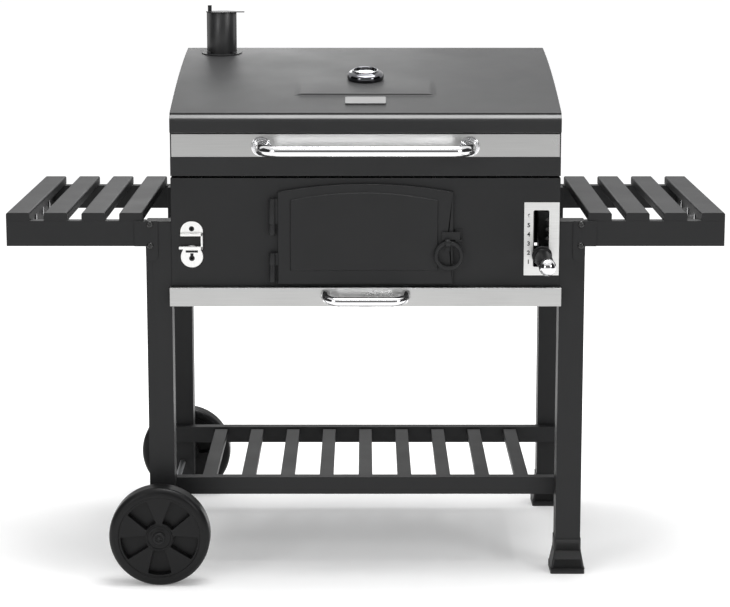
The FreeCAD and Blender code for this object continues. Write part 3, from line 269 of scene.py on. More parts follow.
# %% [markdown]
# ## Finish the construction pieces
# Most pieces stay as they were built, because their shape is right. Each gets its finish here, and a
# thin Bevel after a Weld, since pressed sheet and sawn tube never have knife edges and the small
# highlights along them make metal look like metal.

# %% Finish for each slot
SLOT_FINISH = {
    "charcoal_paint": COAT, "stainless": STEEL, "chrome_plate": CHROME, "zinc_steel": ZINC,
    "grate_enamel": ENAMEL, "black_plastic": PLASTIC, "wheel_plastic": WHEEL_PLASTIC,
    "bolt_black": BOLT, "dial_white": DIAL_SHADED, "needle_red": NEEDLE_RED, "lens_glass": GLASS,
}
for entry in frame["record"]["subparts"]:
    data = nodes[entry["node"]].data
    data.materials.clear()
    data.materials.append(SLOT_FINISH[entry["material_slot"]])
# The flue takes the lighter satin coat: a painted highlight along with its real gloss.
nodes["chimney_flue"].data.materials[0] = COAT_SATIN_LIT


def ease(name, width, segments=3):
    """Round the edges of a construction piece by this width."""
    piece = nodes[name]
    weld = piece.modifiers.new("weld", "WELD")
    weld.merge_threshold = 0.00001
    bevel = piece.modifiers.new("bevel", "BEVEL")
    bevel.width = width
    bevel.segments = segments
    bevel.limit_method = "ANGLE"
    bevel.angle_limit = math.radians(40)
    bevel.harden_normals = True
    return piece


# %% [markdown]
# ## Turning a mesh into a piece
# New pieces are shaped with bmesh operators about a handy origin and then moved to their place in
# their own mesh. This helper does that move, shades smooth except at sharp corners, and ties the piece
# to the body that carries it.

# %% Settle a mesh as a piece
def as_data(mesh, name):
    """Mesh data from a bmesh, which is freed."""
    data = bpy.data.meshes.new(name)
    mesh.to_mesh(data)
    mesh.free()
    return data


def settle(mesh, name, finish, body, stands_for=(), place=None, sharp=35):
    """Make a piece from a bmesh; stands_for lists the construction nodes it replaces."""
    if place is not None:
        bmesh.ops.transform(mesh, matrix=place, verts=mesh.verts)
    data = as_data(mesh, name)
    data.shade_smooth()
    data.set_sharp_from_angle(angle=math.radians(sharp))
    data.materials.append(finish)
    piece = placed(name, data)
    weigh = piece.modifiers.new("weigh", "WEIGHTED_NORMAL")
    weigh.keep_sharp = True
    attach(piece, body)
    if stands_for:
        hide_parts(*stands_for)
    print(name, len(data.polygons), "faces")
    return piece


SPIN_MERGE = 0.000002
WELD_MERGE = 0.00001
UPRIGHT = Matrix.Rotation(math.radians(90), 4, "X")
STAY = Matrix.Identity(4)


def face_out(mesh):
    """Turn every normal outwards."""
    bmesh.ops.recalc_face_normals(mesh, faces=mesh.faces)


def join(mesh, reach):
    """Merge the vertices that lie within reach."""
    bmesh.ops.remove_doubles(mesh, verts=mesh.verts, dist=reach)


def verts_in(items):
    """The vertices among what an operator returns."""
    return [item for item in items if isinstance(item, bmesh.types.BMVert)]


def whole_turn(mesh, geometry, steps):
    """Spin geometry once round Z and join the seam."""
    bmesh.ops.spin(mesh, geom=geometry, axis=(0, 0, 1), cent=(0, 0, 0), dvec=(0, 0, 0), angle=math.tau,
                   steps=steps, use_merge=True)
    join(mesh, SPIN_MERGE)


def lathe(mesh, profile, steps):
    """Turn a profile of (radius, height) points about Z."""
    points = [mesh.verts.new((radius, 0, height)) for radius, height in profile]
    lines = [mesh.edges.new(pair) for pair in zip(points, points[1:])]
    whole_turn(mesh, points + lines, steps)


def spun(profile, steps=64):
    """A bmesh of revolution about Z from (radius, height) points."""
    mesh = bmesh.new()
    lathe(mesh, profile, steps)
    face_out(mesh)
    return mesh


def round_off(mesh, parts, width, segments, affect="EDGES"):
    """Round edges, or corners, by this width."""
    bmesh.ops.bevel(mesh, geom=parts, offset=width, offset_type="OFFSET", segments=segments, profile=0.5,
                    material=-1, affect=affect, clamp_overlap=True)


def gather(parts):
    """One bmesh from (bmesh, placement) pairs."""
    whole = bmesh.new()
    for part, placement in parts:
        bmesh.ops.transform(part, matrix=placement, verts=part.verts)
        scratch = as_data(part, "gather_scratch")
        whole.from_mesh(scratch)
        bpy.data.meshes.remove(scratch)
    return whole


def rounded(corners, radius, steps=5):
    """A spun profile with each inner corner turned into an arc of about this radius."""
    path = [corners[0]]
    for before, here, after in zip(corners, corners[1:], corners[2:]):
        here, before, after = Vector(here), Vector(before), Vector(after)
        reach = min(radius, (here - before).length / 2, (after - here).length / 2)
        start = here + (before - here).normalized() * reach
        end = here + (after - here).normalized() * reach
        for index in range(steps + 1):
            share = index / steps
            path.append(tuple(start * (1 - share) ** 2 + here * 2 * share * (1 - share) + end * share ** 2))
    return path + [corners[-1]]


def facing_front(point):
    """A placement that turns +Z towards the front, -Y, at a point."""
    return Matrix.Translation(point) @ UPRIGHT


# %% [markdown]
# ## Bent bars
# The lid and drawer handles are one tube bent twice. A circle is extruded along each straight and spun
# round each elbow, which is how the tube itself is bent, so the section stays round all the way.

# %% Bent bars
def bent_bar(radius, start, heading, moves, segments=32):
    """A bar from start; moves are lengths to go, or (direction, bend radius) for a quarter turn."""
    mesh = bmesh.new()
    here, heading = Vector(start), Vector(heading).normalized()
    ring = bmesh.ops.create_circle(mesh, cap_ends=False, segments=segments, radius=radius)["verts"]
    turn = Vector((0, 0, 1)).rotation_difference(heading).to_matrix().to_4x4()
    bmesh.ops.transform(mesh, matrix=Matrix.Translation(here) @ turn, verts=ring)
    edges = list(mesh.edges)
    for move in moves:
        if isinstance(move, tuple):
            toward, bend = Vector(move[0]), move[1]
            centre = here + toward * bend
            last = bmesh.ops.spin(mesh, geom=ring + edges, axis=heading.cross(toward), cent=centre,
                                  dvec=(0, 0, 0), angle=math.radians(90), steps=12)["geom_last"]
            here, heading = centre + heading * bend, toward
        else:
            last = bmesh.ops.extrude_edge_only(mesh, edges=edges)["geom"]
            bmesh.ops.translate(mesh, verts=verts_in(last), vec=heading * move)
            here = here + heading * move
        ring = verts_in(last)
        edges = [item for item in last if isinstance(item, bmesh.types.BMEdge)]
    bmesh.ops.holes_fill(mesh, edges=[e for e in mesh.edges if e.is_boundary])
    face_out(mesh)
    return mesh


# %% [markdown]
# ## Lid and drawer handles
# Both handles leave their face square, droop a little and cross the front in one wide bend at each
# end. The construction gives the bar's place and the height where the arms meet the face; the lid
# handle also has two ringed rosettes on the steel band.

# %% Lid handle
def drooped_handle(node, radius, bend, droop, face_y, half, segments):
    """A bent bar with its arms on face_y, tilted down by droop, as the construction has it."""
    low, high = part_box(node)
    mount_z = high.z - radius / math.cos(droop)
    bar_y = low.y + radius
    length = (face_y - bar_y) / math.cos(droop)
    out = (0, -math.cos(droop), -math.sin(droop))
    back = (0, math.cos(droop), math.sin(droop))
    moves = [length - bend, ((1, 0, 0), bend), 2 * (half - bend), (back, bend), length - bend]
    return bent_bar(radius, (-half, face_y, mount_z), out, moves, segments)


rosette_low, rosette_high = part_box("lid_handle_rosettes")
band_face = rosette_high.y
rosette_radius = (rosette_high.z - rosette_low.z) / 2
handle_x = rosette_high.x - rosette_radius
handle_z = (rosette_high.z + rosette_low.z) / 2
HANDLE_RADIUS, HANDLE_BEND, HANDLE_DROOP, ROSETTE_SINK = 0.011, 0.040, math.radians(1.7), 0.003
lid_bar = drooped_handle("lid_handle", HANDLE_RADIUS, HANDLE_BEND, HANDLE_DROOP, band_face - ROSETTE_SINK,
                         handle_x, 32)
settle(lid_bar, "lid_handle_tube", CHROME, "lid", ["lid_handle"])
ROSETTE = rounded([(0.0, 0.0050), (0.0128, 0.0050), (0.0134, 0.0026), (0.0148, 0.0026), (0.0154, 0.0042),
                   (0.0170, 0.0042), (0.0176, 0.0016), (rosette_radius - 0.0008, 0.0016),
                   (rosette_radius, 0.0), (0.0, 0.0)], 0.0009)
SIDES = (("left", -1), ("right", 1))
for side, sign in SIDES:
    settle(spun(ROSETTE, 56), f"handle_rosette_{side}", CHROME, "lid",
           ["lid_handle_rosettes"], facing_front((sign * handle_x, band_face, handle_z)))

# %% Drawer handle
PULL_RADIUS, PULL_BEND, PULL_DROOP = 0.009, 0.030, math.radians(11.4)
pull_low, pull_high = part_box("drawer_handle")
drawer_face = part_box("drawer_front")[0].y
pull_bar = drooped_handle("drawer_handle", PULL_RADIUS, PULL_BEND, PULL_DROOP, drawer_face,
                          (pull_high.x - pull_low.x) / 2 - PULL_RADIUS, 28)
settle(pull_bar, "drawer_pull", CHROME, "ash_drawer", ["drawer_handle"])

# %% [markdown]
# ## The hood
# The hood is one folded sheet: a proud band at the bottom, a recess for the steel band, a rolled lip,
# and a roof that climbs in one long arc to a round back edge. Its outline is walked in the YZ plane,
# with spin for every round stretch, and extruded from side to side. Two end plates close it.

# %% Hood outline
hood_low, hood_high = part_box("lid_shell")
band_low, band_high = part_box("lid_steel_band")
LIP_TILT = math.radians(36)
LIP_ROUND = 0.0080
LIP_START = (LEG_FACE + 0.0010, 0.9245)
SKIRT_Y = LEG_FACE - 0.0022
CORNER_ROUND = 0.055
ROOF_RADIUS = 3.1
ROOF_STEPS = 72
CREST_DEPTH = 0.804
RECESS_Y, RECESS_TOP = LEG_FACE + 0.0009, 0.8915
HALF = hood_high.x


def walk_arc(mesh, last, centre, angle, steps):
    """Carry a point round a centre in the YZ plane and return the new last point."""
    turned = bmesh.ops.spin(mesh, geom=[last], axis=(1, 0, 0), cent=centre, dvec=(0, 0, 0), angle=angle,
                            steps=steps)["geom_last"]
    return verts_in(turned)[0]


def walk_line(mesh, last, y, z):
    """Draw a straight edge to y, z."""
    point = mesh.verts.new((-HALF, y, z))
    mesh.edges.new((last, point))
    return point


# %% [markdown]
# The walk starts at the bottom of the back, climbs, rounds the corner, runs down the roof to the rolled
# lip and ends under the proud front band. The closing edge at the bottom turns it into one face, which
# is extruded to the other side; the bottom strip is then deleted, because a hood is open below.

# %% Hood sheet
back_y = hood_high.y
corner_y = back_y - CORNER_ROUND
crest_y = LEG_FACE + CREST_DEPTH
roof_start_y = LEG_FACE + 0.0014
roof_drop = math.asin((crest_y - roof_start_y) / ROOF_RADIUS)
corner_drop = math.asin((crest_y - corner_y) / ROOF_RADIUS)
ROOF_START_Z = 0.9283
crest_z = ROOF_START_Z - ROOF_RADIUS * math.cos(roof_drop)


def roof_height(y):
    """Height of the plain roof at y."""
    return crest_z + math.sqrt(ROOF_RADIUS ** 2 - (crest_y - y) ** 2)


hood = bmesh.new()
start = hood.verts.new((-HALF, back_y, hood_low.z))
last = walk_line(hood, start, back_y, roof_height(corner_y) - CORNER_ROUND)
last = walk_arc(hood, last, (-HALF, corner_y, roof_height(corner_y) - CORNER_ROUND), math.radians(90), 14)
last = walk_arc(hood, last, (-HALF, crest_y, crest_z), roof_drop - corner_drop, ROOF_STEPS)
last = walk_line(hood, last, *LIP_START)
slant = LIP_START[0] - hood_low.y - LIP_ROUND * (1 - math.sin(LIP_TILT))
last = walk_line(hood, last, LIP_START[0] - slant, LIP_START[1] - slant * math.tan(LIP_TILT))
normal = Vector((0, -math.sin(LIP_TILT), math.cos(LIP_TILT)))
last = walk_arc(hood, last, last.co - normal * LIP_ROUND, math.radians(90) - LIP_TILT, 10)
lip_y = last.co.y
for y, z in ((lip_y, RECESS_TOP), (RECESS_Y, band_high.z + 0.0006), (RECESS_Y, band_low.z),
             (SKIRT_Y, band_low.z), (SKIRT_Y, hood_low.z)):
    last = walk_line(hood, last, y, z)
hood.edges.new((last, start))
side = bmesh.ops.contextual_create(hood, geom=hood.edges[:])["faces"]
copy = bmesh.ops.extrude_face_region(hood, geom=side, use_keep_orig=True)["geom"]
bmesh.ops.translate(hood, verts=verts_in(copy), vec=(2 * HALF, 0, 0))
face_out(hood)
open_side = [f for f in hood.faces if f.normal.z < -0.99 and f.calc_center_median().z < hood_low.z + 0.001]
bmesh.ops.delete(hood, geom=open_side, context="FACES")
print("hood outline faces", len(hood.faces), "lip at", round(lip_y, 4))

# %% [markdown]
# The middle of the roof carries a pressed panel: its front edge is a clear step and it melts into the
# curve towards the back. The roof is first cut by planes where the step needs detail, then the vertices
# inside are lifted by a smooth function, which keeps the press mark crisp without sculpting.

# %% Pressed panel and flue hole
PANEL_HALF = 0.143
PANEL_FRONT = LEG_FACE + 0.100
PANEL_FADE = 0.13
PANEL_RISE = 0.0038
STEP = 0.0028
flue_low, flue_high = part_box("chimney_flue")
flue_x, flue_y = (flue_low.x + flue_high.x) / 2, (flue_low.y + flue_high.y) / 2
flue_radius = (flue_high.x - flue_low.x) / 2


def cut_roof(axis, position, low=-1.0, high=1.0):
    """Cut the hood's upper sheet with a plane square to X or Y."""
    middle = Vector((0, 0, 0.0))
    middle[axis] = position
    direction = Vector((0, 0, 0))
    direction[axis] = 1
    upper = [f for f in hood.faces if f.normal.z > 0.4 and low < f.calc_center_median().x < high]
    geometry = set(upper)
    for face in upper:
        geometry.update(face.verts)
        geometry.update(face.edges)
    bmesh.ops.bisect_plane(hood, geom=list(geometry), dist=0.000001, plane_co=middle, plane_no=direction)


for share in range(7):
    for side in (-1, 1):
        cut_roof(0, side * (PANEL_HALF - share * STEP))
for share in (-0.5, -0.25, 0.0, 0.25, 0.5, 1.0):
    cut_roof(1, PANEL_FRONT + share * STEP)
for column in (-0.09, -0.045, 0.0, 0.045, 0.09, 0.24, 0.33):
    cut_roof(0, column)
HOLE_MARGIN = 0.006
for side in (-1, 1):
    cut_roof(0, flue_x + side * (flue_radius + HOLE_MARGIN))
    cut_roof(1, flue_y + side * (flue_radius + HOLE_MARGIN))


def smooth(value):
    """Ease a share from 0 to 1."""
    value = min(1.0, max(0.0, value))
    return value * value * (3 - 2 * value)


for vert in hood.verts:
    if vert.co.z > roof_height(vert.co.y) - 0.0005 and vert.co.y > PANEL_FRONT - STEP:
        across = smooth((PANEL_HALF - abs(vert.co.x)) / (6 * STEP))
        inward = vert.co.y - PANEL_FRONT
        along = smooth(inward / STEP + 0.5) * (1 - smooth(inward / PANEL_FADE))
        vert.co.z += PANEL_RISE * across * along

reach = flue_radius + HOLE_MARGIN
inside = [f for f in hood.faces if f.normal.z > 0.4 and abs(f.calc_center_median().x - flue_x) < reach
          and abs(f.calc_center_median().y - flue_y) < reach]
bmesh.ops.delete(hood, geom=inside, context="FACES")
edge_loop = [e for e in hood.edges if e.is_boundary and min(v.co.z for v in e.verts) > hood_low.z + 0.05]
rim = bmesh.ops.create_circle(hood, cap_ends=False, segments=48, radius=flue_radius + 0.0004,
                              matrix=Matrix.Translation((flue_x, flue_y, 0)))["verts"]
for vert in rim:
    vert.co.z = roof_height(vert.co.y)
rim_edges = list({e for v in rim for e in v.link_edges})
bmesh.ops.bridge_loops(hood, edges=edge_loop + rim_edges)
print("roof faces", len(hood.faces))

# %% [markdown]
# A folded sheet has a small radius at each fold, so the long creases are bevelled before the wall gets
# its thickness. The wall goes inwards, so that the outside keeps its size.

# %% Fold radii and wall
FOLD = 0.0013
WALL = 0.0020
face_out(hood)
creases = [e for e in hood.edges if len(e.link_faces) == 2 and e.calc_face_angle() > math.radians(30)]
round_off(hood, creases, FOLD, 3)
bmesh.ops.solidify(hood, geom=hood.faces[:], thickness=WALL)
# The faces of the rolled lip take the lighter satin coat: a painted highlight band along the lip.
LIP_HIGHLIGHT_BAND = (LIP_START[1] - 0.0125, LIP_START[1] + 0.0002)
for face in hood.faces:
    middle = face.calc_center_median()
    if middle.y < LIP_START[0] and LIP_HIGHLIGHT_BAND[0] < middle.z < LIP_HIGHLIGHT_BAND[1]:
        face.material_index = 1
hood_piece = settle(hood, "hood", COAT_HOOD, "lid", ["lid_shell"], sharp=40)
hood_piece.data.materials.append(COAT_SATIN_LIT)
ease("lid_steel_band", 0.0005, 2)

# %% [markdown]
# ## Flat plates with holes
# The name plate, the scale plate, the opener and the wheel faces are all flat outlines with rounded
# corners, some with a window. One helper makes the outline, a second fills it and gives it a thickness.

# %% Plate helpers
def outline_loop(mesh, corners, radius, steps=6, turned=None, height=0.0):
    """A closed flat loop through corners; turned lists the corners to round, or all of them."""
    kept = set(mesh.edges)
    points = [mesh.verts.new((x, y, height)) for x, y in corners]
    mesh.faces.new(points)
    if radius:
        chosen = points if turned is None else [points[index] for index in turned]
        round_off(mesh, chosen, radius, steps, "VERTICES")
    edges = [edge for edge in mesh.edges if edge not in kept]
    filled = list({face for edge in edges for face in edge.link_faces})
    bmesh.ops.delete(mesh, geom=filled, context="FACES_ONLY")
    return [edge for edge in edges if edge.is_valid]


def sheet_metal(mesh, edges, thick, edge_radius=0.0004):
    """Fill between flat loops, raise the sheet to its thickness and break its edges."""
    flat = bmesh.ops.triangle_fill(mesh, edges=edges, use_beauty=True, use_dissolve=False)["geom"]
    faces = [item for item in flat if isinstance(item, bmesh.types.BMFace)]
    raised = bmesh.ops.extrude_face_region(mesh, geom=faces, use_keep_orig=True)["geom"]
    bmesh.ops.translate(mesh, verts=verts_in(raised), vec=(0, 0, thick))
    face_out(mesh)
    if edge_radius:
        rims = [e for e in mesh.edges if len(e.link_faces) == 2 and e.calc_face_angle() > math.radians(60)
                and max(v.co.z for v in e.verts) > thick * 0.9]
        round_off(mesh, rims, edge_radius, 2)
    return mesh


def rectangle(half_x, half_y, x=0.0, y=0.0):
    """Corners of a rectangle about x, y."""
    return [(x + a * half_x, y + b * half_y) for a, b in ((-1, -1), (1, -1), (1, 1), (-1, 1))]


# %% [markdown]
# ## Name plate
# A small bare plate in brushed metal lies on the roof, tipped with the sheet under it. Its metal is
# coloured much darker than steel, painted shade that dims the lamp mirrored in it. Its top edge is
# bevelled wide, which is what draws the pale frame round it.

# %% Name plate
low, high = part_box("name_plate")
plate_y = (low.y + high.y) / 2
plate_tilt = math.asin((crest_y - plate_y) / ROOF_RADIUS)
badge = bmesh.new()
BADGE_HALF, BADGE_CORNER, BADGE_THICK, BADGE_EDGE = (0.0400, 0.0198), 0.003, 0.0030, 0.0011
sheet_metal(badge, outline_loop(badge, rectangle(*BADGE_HALF), BADGE_CORNER), BADGE_THICK, BADGE_EDGE)
roof_seat = Matrix.Translation((0, plate_y, roof_height(plate_y))) @ Matrix.Rotation(plate_tilt, 4, "X")
settle(badge, "bare_name_plate", BADGE_SHADED, "lid", ["name_plate"], roof_seat)

# %% [markdown]
# ## Lid gauge
# The gauge is a spun chrome bezel, coloured dark as painted shade that dims the lamps mirrored in it:
# a small foot, a full round shoulder and a slim ring round the glass. The dial inside is a disc coloured
# dark grey as painted shade, with raised ticks, and the needle is the moving one from the construction.

# %% Gauge bezel and dial ticks
GAUGE_Y = LEG_FACE + 0.210
gauge_tilt = math.asin((crest_y - GAUGE_Y) / ROOF_RADIUS)
gauge_seat = (Matrix.Translation((0, GAUGE_Y, roof_height(GAUGE_Y))) @ Matrix.Rotation(gauge_tilt, 4, "X"))
BEZEL = rounded([(0.0290, -0.0010), (0.0340, -0.0010), (0.0368, 0.0020), (0.0375, 0.0070), (0.0362, 0.0118),
                 (0.0322, 0.0150), (0.0278, 0.0158), (0.0264, 0.0170), (0.0262, 0.0188), (0.0250, 0.0195),
                 (0.0234, 0.0190), (0.0226, 0.0160), (0.0224, 0.0100), (0.0290, 0.0080)], 0.0026, 6)
BEZEL.append(BEZEL[0])
settle(spun(BEZEL, 96), "gauge_bezel", CHROME_GAUGE_SHADED, "lid", ["thermometer_case"], gauge_seat)
GLASS_LOW, GLASS_HIGH, GLASS_RADIUS = 0.0146, 0.0156, 0.0224
pane = spun([(0.0, GLASS_LOW), (GLASS_RADIUS, GLASS_LOW), (GLASS_RADIUS, GLASS_HIGH), (0.0, GLASS_HIGH)], 56)
settle(pane, "gauge_glass_pane", GLASS, "lid", ["thermometer_lens"], gauge_seat)
DIAL_LOW, DIAL_TOP = 0.0105, 0.0115
disc = spun([(0.0, DIAL_LOW), (GLASS_RADIUS, DIAL_LOW), (GLASS_RADIUS, DIAL_TOP), (0.0, DIAL_TOP)], 56)
settle(disc, "gauge_dial", DIAL_SHADED, "lid", ["thermometer_dial"], gauge_seat)
stem_bar = spun([(0.0, -0.055), (0.0038, -0.055), (0.0038, 0.0), (0.0, 0.0)], 20)
settle(stem_bar, "gauge_stem", ZINC, "lid", (), gauge_seat)
TICKS = 28
TICK_END = 0.0212
ticks = bmesh.new()
for index in range(TICKS + 1):
    turn = math.radians(225 - index * 270 / TICKS)
    long_tick = index % 4 == 0
    size = (0.0045 if long_tick else 0.0026, 0.0009 if long_tick else 0.0005, 0.0002)
    spot = Matrix.Rotation(turn, 4, "Z") @ Matrix.Translation((TICK_END - size[0] / 2, 0, DIAL_TOP + 0.0001))
    bmesh.ops.create_cube(ticks, size=1.0, matrix=spot @ Matrix.Diagonal((*size, 1)))
settle(ticks, "gauge_ticks", INK, "lid", (), gauge_seat)

# %% [markdown]
# ## Separate solids of one piece
# Bolts, boots and caps come as groups: one construction piece with several loose solids. To put a new
# shape on each, the group is merged and split into its islands, and each island gives its own box.

# %% Islands of a group
def islands(name):
    """Low and high corner of every separate solid in a construction piece."""
    mesh = bmesh.new()
    mesh.from_mesh(nodes[name].data)
    join(mesh, WELD_MERGE)
    left, found = set(mesh.verts), []
    while left:
        stack, group = [left.pop()], []
        while stack:
            vert = stack.pop()
            group.append(vert.co.copy())
            for edge in vert.link_edges:
                other = edge.other_vert(vert)
                if other in left:
                    left.remove(other)
                    stack.append(other)
        found.append((Vector([min(c[i] for c in group) for i in range(3)]),
                      Vector([max(c[i] for c in group) for i in range(3)])))
    mesh.free()
    return sorted(found, key=lambda pair: tuple(round(c, 4) for c in pair[0]))


for name in ("shelf_bolts", "foot_boots", "axle_caps", "leg_caps"):
    print(name, len(islands(name)))

# %% [markdown]
# ## Bracket bolts
# Each rail end hangs on two button-head bolts. A button head is a low dome with a hexagon socket, so
# the dome is spun, and its open top is bridged to a six-sided loop that is pushed down.

# %% Button-head bolts
def button_head(radius, tall, socket):
    """A low dome with a hexagon socket, standing on z = 0."""
    mesh = bmesh.new()
    arc = [(radius * math.cos(math.radians(a)), tall * math.sin(math.radians(a))) for a in range(0, 66, 13)]
    lathe(mesh, arc, 30)
    top = [e for e in mesh.edges if e.is_boundary and e.verts[0].co.z > tall / 2]
    hexagon = bmesh.ops.create_circle(mesh, cap_ends=False, segments=6, radius=socket,
                                      matrix=Matrix.Translation((0, 0, arc[-1][1])))["verts"]
    hex_edges = list({e for v in hexagon for e in v.link_edges})
    bmesh.ops.bridge_loops(mesh, edges=top + hex_edges)
    down = bmesh.ops.extrude_edge_only(mesh, edges=hex_edges)["geom"]
    bmesh.ops.translate(mesh, verts=verts_in(down), vec=(0, 0, -tall * 0.55))
    bmesh.ops.holes_fill(mesh, edges=[e for e in mesh.edges if e.is_boundary])
    face_out(mesh)
    return mesh


BOLT_HEAD, BOLT_RADIUS, BOLT_SOCKET = 0.0040, 0.0068, 0.0030
bolts = []
for low, high in islands("shelf_bolts"):
    middle = (low + high) / 2
    front = middle.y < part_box("firebox_front")[1].y + 0.2
    seat = low.y + BOLT_HEAD if front else high.y - BOLT_HEAD
    flip = STAY if front else Matrix.Rotation(math.pi, 4, "Z")
    spot = Matrix.Translation((middle.x, seat, middle.z)) @ flip @ UPRIGHT
    bolts.append((button_head(BOLT_RADIUS, BOLT_HEAD, BOLT_SOCKET), spot))
settle(gather(bolts), "button_bolts", BOLT, "cart", ["shelf_bolts"])

# %% [markdown]
# ## Foot boots
# The two standing legs end in moulded boots: a snug sleeve that flares to a wider sole. One square is
# extruded upwards in stages and scaled at each stage, and the long edges are rounded afterwards.

# %% Foot boots
BOOT_STAGES = ((0.0, 1.0), (0.011, 1.0), (0.0122, 0.975), (0.046, 0.790), (0.048, 0.783), (0.070, 0.778))
for low, high in islands("foot_boots"):
    middle = (low + high) / 2
    half = (high.x - low.x) / 2
    boot = bmesh.new()
    bmesh.ops.create_grid(boot, x_segments=1, y_segments=1, size=half)
    top = boot.faces[:]
    before = 0.0
    share_before = 1.0
    for height, share in BOOT_STAGES[1:]:
        raised = bmesh.ops.extrude_face_region(boot, geom=top)["geom"]
        top = [item for item in raised if isinstance(item, bmesh.types.BMFace)]
        verts = list({v for f in top for v in f.verts})
        bmesh.ops.translate(boot, verts=verts, vec=(0, 0, height - before))
        bmesh.ops.scale(boot, verts=verts, vec=(share / share_before, share / share_before, 1))
        before, share_before = height, share
    bmesh.ops.inset_region(boot, faces=top, thickness=0.0012, depth=0.0)
    bmesh.ops.translate(boot, verts=list({v for f in top for v in f.verts}), vec=(0, 0, -0.003))
    face_out(boot)
    corners = [e for e in boot.edges if abs(e.verts[0].co.z - e.verts[1].co.z) > 0.004]
    round_off(boot, corners, 0.0045, 4)
    join(boot, WELD_MERGE)
    end = "front" if middle.y < 0 else "rear"
    settle(boot, f"boot_{end}", BOOT_PLASTIC, "cart", ["foot_boots"],
           Matrix.Translation((middle.x, middle.y, low.z)), sharp=30)

# %% [markdown]
# ## Wheels
# Each wheel is one moulding: a rounded tread, a raised rim, five sunk windows between broad spokes and
# a raised hub. The round stretches are spun. The web between them is a flat ring with five window
# outlines in it, and each window is pushed in as a pocket. The face is then mirrored.

# %% Wheel moulding
low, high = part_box("wheel_front")
WHEEL_RADIUS = (high.z - low.z) / 2
WHEEL_HALF = 0.0260
WHEEL_STEPS = 80
BORE = 0.0062
WEB_HIGH = 0.0235
RIM_INNER = 0.0800
HUB_OUTER = 0.0265
POCKET_DEPTH = 0.0180
POCKET_ENDS = ((0.0765, 0.0232), (0.0290, 0.0118))
TREAD = rounded([(RIM_INNER, WEB_HIGH), (RIM_INNER + 0.0005, 0.0250), (RIM_INNER + 0.0030, WHEEL_HALF),
                 (0.0920, 0.0250), (WHEEL_RADIUS, 0.0180), (WHEEL_RADIUS, 0.0)], 0.0045, 5)
HUB = rounded([(BORE, WEB_HIGH), (BORE, WHEEL_HALF), (0.0160, WHEEL_HALF), (0.0185, 0.0242),
               (0.0222, 0.0240), (0.0232, 0.0254), (0.0255, 0.0254), (HUB_OUTER, WEB_HIGH)], 0.0012, 4)


def half_wheel():
    """The outer half of a wheel, with its face up and its middle plane at z = 0."""
    mesh = bmesh.new()
    for profile in (TREAD, HUB):
        lathe(mesh, profile, WHEEL_STEPS)
    web = [e for e in mesh.edges if e.is_boundary and abs(e.verts[0].co.z - WEB_HIGH) < 0.0001
           and e.verts[0].co.xy.length > 0.02]
    windows = []
    for index in range(5):
        turn = math.radians(270 + 72 * index)
        corners = []
        for (radius, half), shares in zip(POCKET_ENDS, ((-1, -0.5, 0, 0.5, 1), (1, 0, -1))):
            spread = math.asin(half / radius)
            angles = [turn + share * spread for share in shares]
            corners += [(radius * math.cos(angle), radius * math.sin(angle)) for angle in angles]
        windows += outline_loop(mesh, corners, 0.0022, 4, (0, 4, 5, 7), WEB_HIGH)
    bmesh.ops.triangle_fill(mesh, edges=web + windows, use_beauty=True, use_dissolve=False)
    down = bmesh.ops.extrude_edge_only(mesh, edges=windows)["geom"]
    bmesh.ops.translate(mesh, verts=verts_in(down), vec=(0, 0, -POCKET_DEPTH))
    bmesh.ops.holes_fill(mesh, edges=[e for e in down if isinstance(e, bmesh.types.BMEdge)])
    face_out(mesh)
    round_off(mesh, [e for e in windows if e.is_valid], 0.0010, 3)
    return mesh


for end, outward in (("front", -1), ("rear", 1)):
    low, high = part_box("wheel_" + end)
    outer = low.y if outward < 0 else high.y
    centre = Vector(((low.x + high.x) / 2, outer - outward * WHEEL_HALF, (low.z + high.z) / 2))
    wheel = half_wheel()
    everything = wheel.verts[:] + wheel.edges[:] + wheel.faces[:]
    bmesh.ops.mirror(wheel, geom=everything, axis="Z", merge_dist=WELD_MERGE)
    sleeve_end = abs((high.y if outward < 0 else low.y) - centre.y)
    sleeve = spun([(BORE, WEB_HIGH), (BORE, sleeve_end), (0.0115, sleeve_end), (0.0125, WEB_HIGH)], 40)
    wheel = gather([(wheel, STAY), (sleeve, Matrix.Rotation(math.pi, 4, "X"))])
    face_out(wheel)
    facing = Matrix.Rotation(math.radians(-90 * outward), 4, "X")
    settle(wheel, "wheel_moulding_" + end, WHEEL_PLASTIC, "wheel_" + end, ["wheel_" + end],
           Matrix.Translation(centre) @ facing, sharp=30)
CAP = rounded([(0.0, 0.0060), (0.0032, 0.0057), (0.0046, 0.0036), (0.0070, 0.0034), (0.0080, 0.0062),
               (0.0100, 0.0068), (0.0118, 0.0048), (0.0120, 0.0), (0.0, 0.0)], 0.0014, 5)
for low, high in islands("axle_caps"):
    middle = (low + high) / 2
    outward = -1 if middle.y < 0 else 1
    seat = high.y if outward < 0 else low.y
    settle(spun(CAP, 40), f"axle_cap_{'front' if outward < 0 else 'rear'}", PLASTIC, "cart",
           ["axle_caps"], Matrix.Translation((middle.x, seat, middle.z))
           @ Matrix.Rotation(math.radians(-90 * outward), 4, "X"))

# %% [markdown]
# ## Bottle opener
# The opener is pressed from one bright strip: a round-topped plate with a screw, a fold that stands
# out as a ledge, a side wall, a bottom lip that the crown cap catches on, and a round lower plate.

